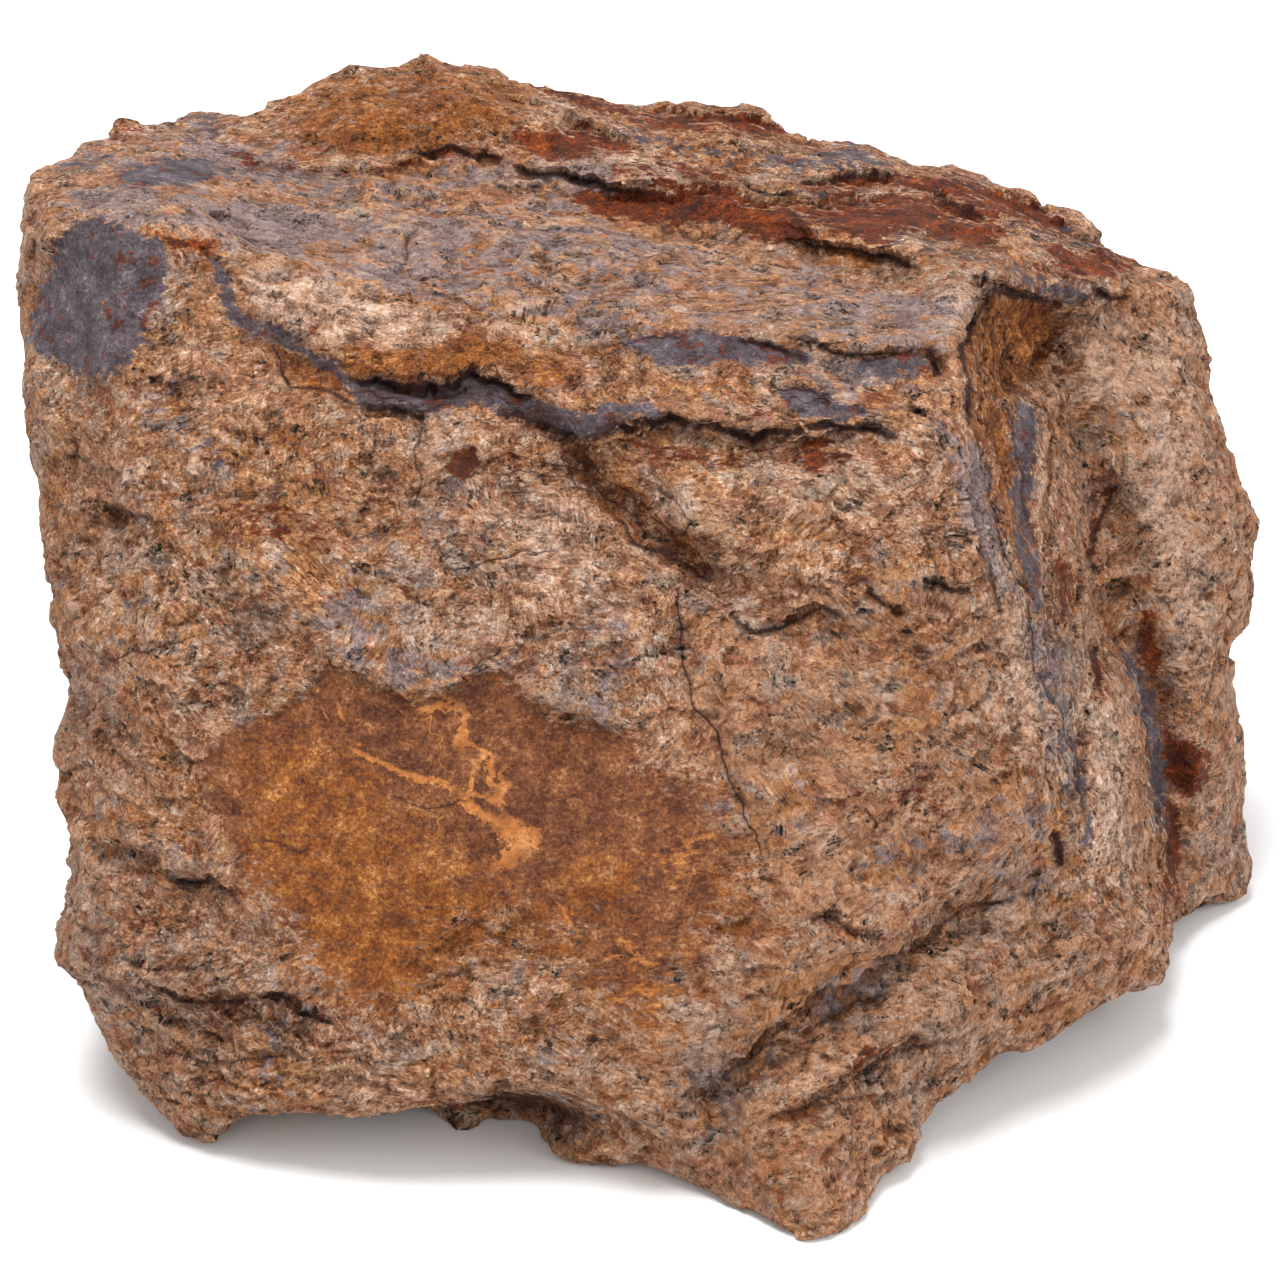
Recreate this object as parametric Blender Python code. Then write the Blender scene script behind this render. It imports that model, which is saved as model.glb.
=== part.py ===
"""A rough lump of bronzite, broken from the rock as one piece.

The stone is one closed surface. Half of it was measured from a single viewpoint, in front and a
little above, and is given as it shows from there: column and row in that picture, and the depth
behind the frontmost plane in millimetres. The far half is given in plain millimetres.
"""

import math

import bmesh
import bpy
from mathutils import Matrix, Vector, noise
from mathutils.geometry import delaunay_2d_cdt

NAME = "bronzite"
MM = 0.001

# The viewpoint that the near half was measured from.
EYE_DISTANCE = 330.0
LOOK_DOWN = math.radians(28.0)
PICTURE_CENTRE = 640.0
PICTURE_PER_MM = 13.8
CENTRE_HEIGHT = 39.0

# How the broken surface is worked, in millimetres.
WORKING_GRID = 1.0
ROUNDED_OFF = 0.3
LUMP_SIZE = 14.0
LUMP_HEIGHT = 0.6
CHIP_SIZE = 6.5
CHIP_SLOPE = 0.22
SPALL_SIZE = 17.0
SPALL_SLOPE = 0.26
SPALL_STEP = 1.6
RESTING_HEIGHT = 0.4
UNDERSIDE_GAIN = 0.5
TRIANGLES = 9700

RIGHT = Vector((1.0, 0.0, 0.0))
UP = Vector((0.0, math.sin(LOOK_DOWN), math.cos(LOOK_DOWN)))
AWAY = Vector((0.0, math.cos(LOOK_DOWN), -math.sin(LOOK_DOWN)))
PICTURE_POINT = Vector((0.0, 0.0, CENTRE_HEIGHT))

# The stone's outline from the viewpoint, clockwise from its top left corner.
OUTLINE = [
    (32, 164, 22), (50, 166, 25), (66, 155, 27), (82, 142, 29), (98, 142, 31), (101, 112, 32),
    (133, 117, 33), (158, 128, 34), (168, 113, 35), (205, 109, 36), (243, 117, 37), (262, 104, 38),
    (296, 97, 39), (315, 78, 40), (345, 71, 40), (390, 66, 41), (420, 48, 41), (437, 43, 42),
    (452, 56, 42), (500, 70, 43), (560, 85, 44), (610, 103, 45), (648, 111, 46), (668, 104, 46),
    (692, 104, 46), (716, 115, 46), (745, 107, 46), (770, 119, 46), (797, 139, 46), (822, 146, 46),
    (855, 141, 46), (890, 156, 46), (906, 168, 46), (945, 170, 46), (985, 182, 45), (1018, 192, 45),
    (1038, 210, 44), (1075, 217, 44), (1106, 230, 43), (1110, 252, 41), (1140, 260, 38),
    (1172, 265, 38), (1190, 290, 38), (1187, 303, 38), (1200, 325, 38), (1213, 370, 38),
    (1222, 420, 38), (1229, 460, 39), (1245, 492, 39), (1256, 515, 40), (1251, 560, 40),
    (1254, 580, 40), (1245, 615, 40), (1235, 655, 40), (1241, 690, 41), (1252, 735, 41),
    (1250, 780, 42), (1240, 820, 42), (1253, 855, 42), (1251, 885, 42), (1240, 896, 41),
    (1205, 913, 40), (1180, 925, 38), (1168, 935, 29), (1173, 960, 23), (1167, 992, 21),
    (1120, 1000, 19), (1080, 1012, 17), (1040, 1040, 15), (1005, 1060, 13), (960, 1095, 11),
    (925, 1118, 9.5), (920, 1155, 8), (880, 1185, 5.5), (862, 1225, 2.5), (845, 1242, 1),
    (818, 1250, 0), (785, 1243, 1), (740, 1215, 4), (700, 1207, 5), (650, 1190, 6.5),
    (610, 1170, 8.8), (570, 1172, 8.5), (530, 1155, 10.5), (500, 1140, 12), (470, 1142, 12),
    (445, 1138, 12.3), (432, 1122, 14), (425, 1110, 16), (400, 1118, 15), (375, 1120, 14.5),
    (358, 1112, 6), (330, 1115, 5), (295, 1114, 5), (260, 1115, 6), (235, 1133, 8.5),
    (205, 1158, 10), (188, 1158, 10), (172, 1140, 10.5), (145, 1122, 11), (125, 1095, 11),
    (105, 1060, 11), (90, 1025, 11), (85, 990, 10), (65, 965, 11), (60, 940, 11), (75, 895, 9),
    (70, 845, 9), (50, 815, 11), (45, 770, 12), (50, 740, 12), (65, 710, 10), (70, 670, 10),
    (60, 650, 11), (60, 600, 11), (45, 565, 12), (38, 500, 13), (28, 430, 14), (22, 340, 16),
    (17, 290, 18), (14, 225, 20), (20, 190, 21),
]

# Creases of the near half. Each is a line along which the surface turns.
NEAR_CREASES = {
    "brow": [
        (45, 236, 13), (80, 226, 10), (120, 230, 8.5), (160, 222, 8), (205, 240, 8), (260, 268, 9),
        (330, 285, 10), (420, 297, 10), (520, 308, 10), (620, 322, 9), (720, 333, 8),
        (820, 340, 7), (900, 348, 6), (948, 354, 5.5),
    ],
    "front_top": [
        (50, 420, 9), (120, 430, 5.5), (220, 420, 3.5), (340, 412, 2.8), (450, 425, 2.2),
        (560, 446, 1.8), (680, 442, 1.8), (800, 446, 1.8), (905, 448, 2.5), (950, 450, 4),
    ],
    "front_waist": [
        (85, 640, 7), (150, 640, 4), (280, 630, 2), (400, 660, 1.2), (520, 660, 0.8),
        (650, 640, 0.6), (780, 640, 1), (900, 625, 2.2), (970, 610, 4.5),
    ],
    "front_low": [
        (95, 880, 6), (160, 880, 4.2), (260, 880, 2.6), (400, 880, 1.4), (560, 880, 0.8),
        (700, 870, 0.5), (830, 860, 0.8), (940, 840, 3), (1030, 822, 7.5),
    ],
    "front_foot": [
        (110, 1000, 8), (200, 1010, 5), (330, 1030, 3), (450, 1030, 2), (600, 1020, 1.2),
        (700, 1030, 0.2), (790, 975, 0.6), (860, 925, 2.2),
    ],
    "overhang_lip": [
        (215, 1120, 7), (255, 1106, 5), (330, 1103, 4), (400, 1104, 3.6), (455, 1096, 3),
        (485, 1086, 2.8), (540, 1086, 2.5), (575, 1098, 2.2), (610, 1110, 2), (650, 1123, 1.8),
        (690, 1130, 2),
    ],
    "overhang_toe": [
        (400, 1111, 15), (430, 1106, 15), (460, 1104, 15), (488, 1096, 15), (538, 1097, 14),
        (573, 1110, 11), (605, 1122, 8), (645, 1135, 4.5),
    ],
    "second_lip": [
        (592, 1133, 6), (622, 1155, 5.4), (655, 1166, 4.8), (700, 1178, 4.2), (745, 1192, 3.6),
    ],
    "second_toe": [(620, 1163, 8.6), (652, 1175, 7.8), (698, 1188, 6.6)],
    "front_tip": [(770, 1185, 0.4), (815, 1195, -0.8), (846, 1165, 0.8)],
    "slope_ridge": [
        (790, 1120, -0.6), (850, 1080, 1.2), (930, 1030, 4.6), (1010, 983, 8), (1090, 945, 11.6),
        (1145, 925, 16),
    ],
    "diagonal_valley": [
        (715, 1105, 2.4), (765, 1070, 3.2), (820, 1022, 4.2), (870, 975, 5.4), (930, 930, 7.2),
        (1000, 900, 9.6), (1060, 880, 11.8), (1118, 890, 15.5), (1158, 905, 22),
    ],
    "right_corner": [
        (985, 287, 14), (966, 325, 8.5), (958, 400, 5.5), (962, 460, 4.6), (975, 520, 4.2),
        (986, 565, 4.5), (995, 605, 6.5), (1012, 655, 8.4), (1036, 712, 9.4), (1062, 775, 10.8),
        (1088, 845, 12.6),
    ],
    "right_flank": [
        (1003, 335, 17), (990, 420, 13), (1004, 500, 12.6), (1032, 590, 13.4), (1056, 665, 14.2),
        (1080, 740, 14.6), (1108, 805, 15.4), (1130, 855, 18),
    ],
    "right_groove_side": [
        (1030, 318, 25), (1036, 400, 22), (1058, 500, 22), (1082, 600, 21.5), (1112, 690, 21),
        (1132, 765, 21), (1148, 830, 23),
    ],
    "groove": [
        (1058, 312, 30), (1064, 400, 29), (1090, 490, 30), (1106, 560, 31), (1124, 640, 32),
        (1150, 705, 34), (1160, 780, 35), (1166, 860, 36),
    ],
    "shoulder_face": [
        (1090, 325, 29), (1115, 380, 28), (1140, 460, 27.5), (1160, 550, 28.5), (1188, 650, 30.5),
        (1194, 750, 31.5), (1198, 830, 33.5), (1196, 895, 37),
    ],
    "shoulder_rim": [
        (1150, 300, 33), (1178, 360, 32), (1198, 450, 32), (1226, 520, 33), (1224, 600, 34),
        (1213, 670, 35), (1226, 750, 36), (1222, 850, 38),
    ],
    "plateau_back": [
        (225, 172, 27), (300, 175, 28), (400, 168, 29), (500, 178, 30), (580, 196, 29),
        (640, 224, 27), (730, 224, 27), (800, 256, 23), (900, 274, 19),
    ],
    "first_ledge": [
        (530, 162, 30), (585, 173, 28.4), (640, 186, 26.8), (700, 194, 26), (760, 214, 24),
        (820, 226, 22.4), (880, 250, 19.6), (930, 262, 18), (985, 273, 15.5), (1040, 292, 21),
        (1090, 290, 26), (1130, 288, 30),
    ],
    "second_riser": [
        (560, 157, 32), (620, 160, 33), (690, 171, 33), (760, 186, 33), (850, 197, 32),
        (950, 217, 30), (1010, 238, 28), (1060, 258, 28), (1105, 270, 31),
    ],
    "second_ledge": [
        (560, 120, 35), (610, 132, 34.4), (690, 143, 35), (760, 158, 35.6), (850, 172, 37),
        (930, 182, 38), (1000, 206, 37), (1050, 226, 36), (1092, 246, 36),
    ],
    "hump_foot": [(262, 162, 29), (335, 168, 28.6), (400, 158, 29), (445, 150, 30), (505, 155, 31)],
    "hump_face": [(285, 128, 33), (335, 122, 31.6), (400, 112, 32), (450, 98, 33.4), (492, 116, 33)],
    "corner_top": [(48, 205, 17), (95, 200, 17), (150, 195, 18), (205, 200, 19)],
    "corner_back": [(75, 168, 26), (120, 160, 27), (170, 155, 29), (215, 140, 33)],
}

# Creases of the far half and the underside, in millimetres: right, away, up.
FAR_CREASES = {
    "back_shoulder": [
        (-45, 45, 50), (-32, 57, 51), (-14, 65, 52), (6, 67, 46), (26, 62, 43), (42, 53, 38),
    ],
    "back_waist": [
        (-46, 38, 32), (-37, 53, 27), (-18, 62, 31), (3, 68, 24), (24, 61, 22), (46, 47, 21),
    ],
    "back_foot": [
        (-43, 31, 6), (-35, 45, 3), (-17, 54, 1), (5, 60, 0), (23, 55, 2), (41, 42, 1),
    ],
    "left_waist": [(-45, 22, 44), (-43, 17, 24), (-42.5, 14, 9)],
    "base_front": [(-33, -3, 0), (-24, -1.5, 0), (-16, -1, 0), (-4, -6, 0), (8, -10, 0)],
    "base_right": [(20, -4, 1.5), (30, 6, 3.5), (38, 17, 3.5)],
    "base_middle": [(-36, 14, 0), (-20, 18, 0), (0, 14, 0), (20, 20, 0)],
    "base_back": [(-32, 33, 0), (-12, 40, 0), (10, 42, 0), (30, 36, 0)],
}


def traced(*points):
    return [Vector(point) for point in points]


# Broken edges of the near half: a line, how far the rock above it stands out over the rock below
# it, and how far to each side that shows, in millimetres.
LEDGES = [
    (
        traced(
            (205, 280), (262, 330), (335, 368), (400, 388), (475, 378), (530, 402), (590, 440),
            (660, 427), (740, 434), (840, 432), (920, 442),
        ),
        2.6, 3.4,
    ),
    (traced((280, 630), (330, 662), (390, 690), (470, 698), (540, 702), (600, 722), (660, 750)), 1.6, 5.0),
    (traced((70, 838), (130, 845), (170, 866), (210, 884), (260, 890)), 2.0, 3.0),
    (traced((75, 985), (150, 985), (200, 995), (250, 1002), (290, 1020), (340, 1042)), 2.0, 3.0),
    (traced((740, 335), (790, 352), (850, 368), (950, 366)), 1.4, 2.5),
    (traced((800, 1120), (850, 1078), (890, 1048), (940, 1010)), 1.6, 3.0),
]

# Cracks and narrow valleys of the near half: a line, its depth, and its half width.
GROOVES = [
    (traced((560, 440), (610, 480), (650, 520), (690, 572), (735, 600), (790, 624), (840, 636), (890, 606)), 1.5, 3.0),
    (traced((672, 560), (680, 620), (690, 680), (712, 740), (735, 800), (768, 862)), 0.9, 2.4),
    (traced((1100, 470), (1102, 530), (1096, 580), (1100, 640), (1108, 700)), 1.2, 2.2),
    (traced((985, 292), (1005, 330), (1018, 365), (1024, 400)), 2.4, 3.6),
]


def seen(column, row, depth):
    """The point that shows at a column and row of the measuring picture, so far behind its front plane."""
    spread = (1.0 + depth / EYE_DISTANCE) / PICTURE_PER_MM
    across = (column - PICTURE_CENTRE) * spread
    upward = (PICTURE_CENTRE - row) * spread
    return PICTURE_POINT + RIGHT * across + UP * upward + AWAY * depth


def shows_at(point):
    """Column and row of the measuring picture at which a point would show."""
    offset = point - PICTURE_POINT
    scale = PICTURE_PER_MM / (1.0 + offset.dot(AWAY) / EYE_DISTANCE)
    return Vector((
        PICTURE_CENTRE + offset.dot(RIGHT) * scale,
        PICTURE_CENTRE - offset.dot(UP) * scale,
    ))


def add_sheet(shell, rim, creases, bulge):
    """Stretches a skin of triangles over the creases, inside the rim, which both halves share.

    A triangle that has only rim corners would lie on its twin in the other half, so its middle
    is pushed out by bulge.
    """
    points = [vertex.co.copy() for vertex in rim]
    folds = [(i, (i + 1) % len(rim)) for i in range(len(rim))]
    for crease in creases:
        first = len(points)
        points.extend(crease)
        folds.extend((i, i + 1) for i in range(first, len(points) - 1))
    flat = [shows_at(point) for point in points]
    flat_out, _, triangles, sources, _, _ = delaunay_2d_cdt(flat, folds, [], 1, 1e-5)
    if len(flat_out) != len(points):
        raise ValueError("two creases cross, or one leaves the outline")
    corners = list(rim) + [shell.verts.new(point) for point in points[len(rim):]]
    for triangle in triangles:
        numbers = [sources[i][0] for i in triangle]
        a, b, c = (corners[i] for i in numbers)
        if max(numbers) < len(rim):
            middle = shell.verts.new((a.co + b.co + c.co) / 3 + bulge)
            for pair in ((a, b), (b, c), (c, a)):
                shell.faces.new((*pair, middle))
        else:
            shell.faces.new((a, b, c))


def broken_block():
    """The stone's main planes, as one closed mesh."""
    shell = bmesh.new()
    rim = [shell.verts.new(seen(*point)) for point in OUTLINE]
    near = [[seen(*point) for point in line] for line in NEAR_CREASES.values()]
    far = [[Vector(point) for point in line] for line in FAR_CREASES.values()]
    add_sheet(shell, rim, near, AWAY * -0.2)
    add_sheet(shell, rim, far, AWAY * 4.0)
    bmesh.ops.recalc_face_normals(shell, faces=shell.faces)
    mesh = bpy.data.meshes.new(NAME)
    shell.to_mesh(mesh)
    shell.free()
    return mesh


def baked(stone, kind, **settings):
    """Applies one modifier to the stone."""
    modifier = stone.modifiers.new(kind.title(), kind)
    for key, value in settings.items():
        setattr(modifier, key, value)
    graph = bpy.context.evaluated_depsgraph_get()
    mesh = bpy.data.meshes.new_from_object(stone.evaluated_get(graph))
    stone.modifiers.clear()
    stone.data = mesh


def beside(line, place):
    """Distance from a line, positive above it, and how far along it: 0 at its ends, 1 in between."""
    nearest = None
    along = 0.0
    total = sum((b - a).length for a, b in zip(line, line[1:]))
    for a, b in zip(line, line[1:]):
        run = b - a
        share = min(1.0, max(0.0, (place - a).dot(run) / run.length_squared))
        gap = place - a - run * share
        if nearest is None or gap.length < abs(nearest):
            above = run.x * gap.y - run.y * gap.x < 0.0
            nearest = gap.length if above else -gap.length
            reached = along + run.length * share
        along += run.length
    taper = min(1.0, min(reached, total - reached) / (0.18 * total))
    return nearest, taper


def broken_edges(place):
    """How far the ledges and cracks move the surface that shows at a place in the measuring picture."""
    moved = 0.0
    for line, step, reach in LEDGES:
        gap, taper = beside(line, place)
        gap /= PICTURE_PER_MM
        fade = math.exp(-abs(gap) / reach)
        moved += step * taper * fade * (0.55 if gap > 0.0 else -0.45)
    for line, depth, reach in GROOVES:
        gap, taper = beside(line, place)
        gap = abs(gap) / PICTURE_PER_MM
        moved -= depth * taper * max(0.0, 1.0 - gap / reach)
    return moved


def facets(point, size, slope, step):
    """A surface broken into flat chips of about one size, each tilted its own way."""
    _, centres = noise.voronoi(point / size)
    centre = centres[0]
    lean = noise.noise_vector(centre * 7.3)
    return (point - centre * size).dot(lean) * slope + noise.noise(centre * 5.1) * step


def roughen(mesh):
    """Lumps and chips all over, ledges on the near half, and larger broken planes on the far half."""
    for vertex in mesh.vertices:
        point, normal = vertex.co.copy(), vertex.normal.copy()
        facing = -normal.dot(AWAY)
        hidden = min(1.0, max(0.0, 0.2 - facing * 3.0))
        moved = ROUNDED_OFF + noise.fractal(point / LUMP_SIZE, 1.0, 2.0, 2) * LUMP_HEIGHT * (1.0 + hidden)
        moved += facets(point, CHIP_SIZE, CHIP_SLOPE, 0.0)
        moved += facets(point, SPALL_SIZE, SPALL_SLOPE, SPALL_STEP) * hidden
        if facing > 0.0:
            moved += broken_edges(shows_at(point)) * min(1.0, facing * 4.0)
        if normal.z < -0.7:
            moved *= UNDERSIDE_GAIN
        vertex.co = point + normal * moved


def lay_flat(mesh):
    """Rests the stone on z = 0, with the lowest parts of its underside broken flat."""
    for vertex in mesh.vertices:
        vertex.co.z = max(vertex.co.z, RESTING_HEIGHT)
    xs = [vertex.co.x for vertex in mesh.vertices]
    ys = [vertex.co.y for vertex in mesh.vertices]
    middle = Vector(((min(xs) + max(xs)) / 2, (min(ys) + max(ys)) / 2, RESTING_HEIGHT))
    mesh.transform(Matrix.Scale(MM, 4) @ Matrix.Translation(-middle))
    return middle


def bronzite_material():
    material = bpy.data.materials.new(NAME)
    material.use_nodes = True
    shader = material.node_tree.nodes["Principled BSDF"]
    shader.inputs["Base Color"].default_value = (0.30, 0.17, 0.09, 1.0)
    shader.inputs["Roughness"].default_value = 0.6
    shader.inputs["Metallic"].default_value = 0.0
    return material


def make_stone():
    stone = bpy.data.objects.new(NAME, broken_block())
    bpy.context.scene.collection.objects.link(stone)
    baked(stone, "REMESH", mode="VOXEL", voxel_size=WORKING_GRID)
    roughen(stone.data)
    stone.data.calc_loop_triangles()
    share = TRIANGLES / len(stone.data.loop_triangles)
    baked(stone, "DECIMATE", ratio=share, use_collapse_triangulate=True)
    lay_flat(stone.data)
    stone.data.name = NAME
    stone.data.materials.append(bronzite_material())
    return stone


for old in list(bpy.data.objects):
    bpy.data.objects.remove(old)
make_stone()
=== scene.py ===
"""The looks of the rough bronzite: its broken, fibrous surface and its stains, worked over the CAD solid.

Places on the near half are given as column and row of the measuring picture, the same view that
the solid was measured from. Lengths are in millimetres until the stone is finished.
"""

import math

import bpy
import numpy as np
from mathutils import Matrix, Vector, noise
from mathutils.bvhtree import BVHTree


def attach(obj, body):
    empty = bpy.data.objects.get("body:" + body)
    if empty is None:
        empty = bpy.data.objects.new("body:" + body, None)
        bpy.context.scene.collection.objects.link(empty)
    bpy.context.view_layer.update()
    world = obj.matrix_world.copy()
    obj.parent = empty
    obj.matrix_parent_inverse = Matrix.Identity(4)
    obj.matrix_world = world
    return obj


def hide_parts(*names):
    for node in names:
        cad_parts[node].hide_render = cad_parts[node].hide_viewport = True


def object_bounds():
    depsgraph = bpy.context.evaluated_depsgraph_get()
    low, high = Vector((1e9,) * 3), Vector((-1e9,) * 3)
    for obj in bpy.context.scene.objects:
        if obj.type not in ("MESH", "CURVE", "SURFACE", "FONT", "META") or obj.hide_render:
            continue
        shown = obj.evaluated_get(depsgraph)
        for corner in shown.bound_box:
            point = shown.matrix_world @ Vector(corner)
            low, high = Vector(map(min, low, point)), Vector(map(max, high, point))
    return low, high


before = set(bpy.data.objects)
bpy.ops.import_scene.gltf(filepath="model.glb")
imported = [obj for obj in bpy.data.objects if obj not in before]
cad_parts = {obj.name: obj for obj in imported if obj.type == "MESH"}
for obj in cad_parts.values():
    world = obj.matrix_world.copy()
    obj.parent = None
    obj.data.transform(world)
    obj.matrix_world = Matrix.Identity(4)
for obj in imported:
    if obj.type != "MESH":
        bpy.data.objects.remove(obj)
cad_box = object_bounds()

# Part of the noise depends on a seed, which would otherwise come from the clock.
noise.seed_set(1)

MM = 0.001

# The viewpoint of the measuring picture, which is also the camera's. The picture point is what
# the middle of the picture shows on the frontmost plane.
PICTURE_SIZE = 1280
PICTURE_CENTRE = 640.0
PICTURE_PER_MM = 13.8
PICTURE_POINT = np.array([-1.21, -24.31, 38.6])
EYE_DISTANCE = 330.0
LOOK_DOWN = math.radians(28.0)
RIGHT = np.array([1.0, 0.0, 0.0])
UP = np.array([0.0, math.sin(LOOK_DOWN), math.cos(LOOK_DOWN)])
AWAY = np.array([0.0, math.cos(LOOK_DOWN), -math.sin(LOOK_DOWN)])
EYE = PICTURE_POINT - AWAY * EYE_DISTANCE

# How finely the stone is worked: the working grid, and the triangles left on each half.
FINE_GRID = 0.36
SMOOTHING_ROUNDS = 12
LEVELLING_ROUNDS = 70
NEAR_TRIANGLES = 136000
FAR_TRIANGLES = 60000
SHARP_ANGLE = math.radians(28.0)
LAYER_THICKNESS = 1.9


def drawn(*numbers):
    """A line or an outline in the measuring picture, from its columns and rows."""
    return np.array(numbers, float).reshape(-1, 2)


# Edges that stand out over what is below them: step, reach to each side, line.
LEDGES = [
    (0.7, 1.6, drawn(344, 374, 359, 383, 402, 383, 425, 390, 465, 387, 473, 373, 499, 376, 511, 390, 534, 396)),
    (0.4, 1.2, drawn(362, 404, 402, 404, 430, 416)),
    (0.8, 1.8, drawn(485, 406, 520, 419, 558, 432, 596, 441, 622, 435, 660, 427, 700, 427, 740, 434, 780, 441,
                     837, 432, 870, 429, 912, 438)),
    (0.3, 1.2, drawn(800, 395, 818, 403, 834, 409, 870, 404)),
    (0.35, 1.0, drawn(732, 335, 752, 337, 767, 343, 783, 348, 814, 339, 830, 350, 872, 352, 915, 348, 959, 352)),
    (0.4, 1.4, drawn(204, 738, 255, 719, 303, 695, 330, 660, 357, 678, 386, 687, 415, 706, 434, 696, 472, 674,
                     501, 674, 533, 700, 549, 722, 596, 728, 650, 745)),
    (0.6, 1.4, drawn(150, 986, 191, 999, 225, 999, 287, 992, 303, 1011, 345, 1023)),
    (0.5, 1.4, drawn(105, 868, 140, 862, 179, 880, 212, 878, 240, 900)),
    (0.5, 1.4, drawn(727, 610, 754, 625, 781, 625, 820, 603, 844, 613)),
    (0.4, 1.2, drawn(862, 589, 880, 598, 907, 607)),
    (0.6, 1.2, drawn(919, 580, 940, 580, 952, 586, 988, 580)),
    (0.6, 1.4, drawn(757, 1121, 789, 1107, 832, 1093, 854, 1071, 893, 1050, 950, 1032)),
    (0.7, 1.6, drawn(700, 1100, 743, 1064, 771, 1036, 807, 1004, 850, 985, 914, 950, 968, 906, 1021, 897)),
    (0.4, 1.2, drawn(807, 921, 836, 914, 854, 932, 889, 936)),
    (0.6, 1.4, drawn(419, 149, 445, 146, 471, 155, 505, 152)),
    (1.0, 1.2, drawn(511, 163, 534, 172, 580, 175, 608, 183, 651, 192, 700, 194)),
    (0.5, 1.4, drawn(743, 183, 766, 192, 800, 192, 850, 206)),
    (1.0, 1.2, drawn(780, 238, 800, 241, 837, 245, 886, 253, 919, 267)),
    (0.9, 1.2, drawn(800, 178, 855, 173, 901, 173)),
    (0.9, 1.0, drawn(935, 189, 953, 201, 971, 210, 987, 219)),
    (1.0, 1.2, drawn(971, 274, 996, 279, 1026, 290, 1063, 308)),
    (0.7, 1.2, drawn(1063, 277, 1097, 290, 1127, 296)),
    (0.4, 1.4, drawn(224, 148, 258, 160, 301, 171, 402, 167, 450, 157)),
    (1.1, 1.2, drawn(574, 190, 597, 189, 689, 191, 714, 184, 760, 194, 800, 204, 860, 197, 900, 190)),
    (0.8, 1.2, drawn(500, 92, 534, 100, 580, 122, 608, 132, 640, 146)),
    (0.8, 1.2, drawn(1010, 188, 1042, 211, 1080, 232, 1108, 246)),
    (0.6, 1.2, drawn(640, 108, 700, 114, 760, 118, 790, 130)),
    (0.5, 1.2, drawn(580, 352, 610, 348, 642, 354, 644, 380, 640, 405)),
    (0.7, 1.6, drawn(1083, 820, 1066, 740, 1052, 680, 1036, 620, 1014, 560, 1000, 500, 990, 440, 982, 390)),
    (0.6, 1.4, drawn(990, 590, 976, 540, 965, 480, 955, 420, 950, 380)),
    (0.7, 1.4, drawn(975, 440, 962, 390, 960, 350, 972, 312, 990, 292)),
    (0.5, 1.2, drawn(1044, 520, 1052, 470, 1050, 420, 1046, 380, 1060, 330)),
]

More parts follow.
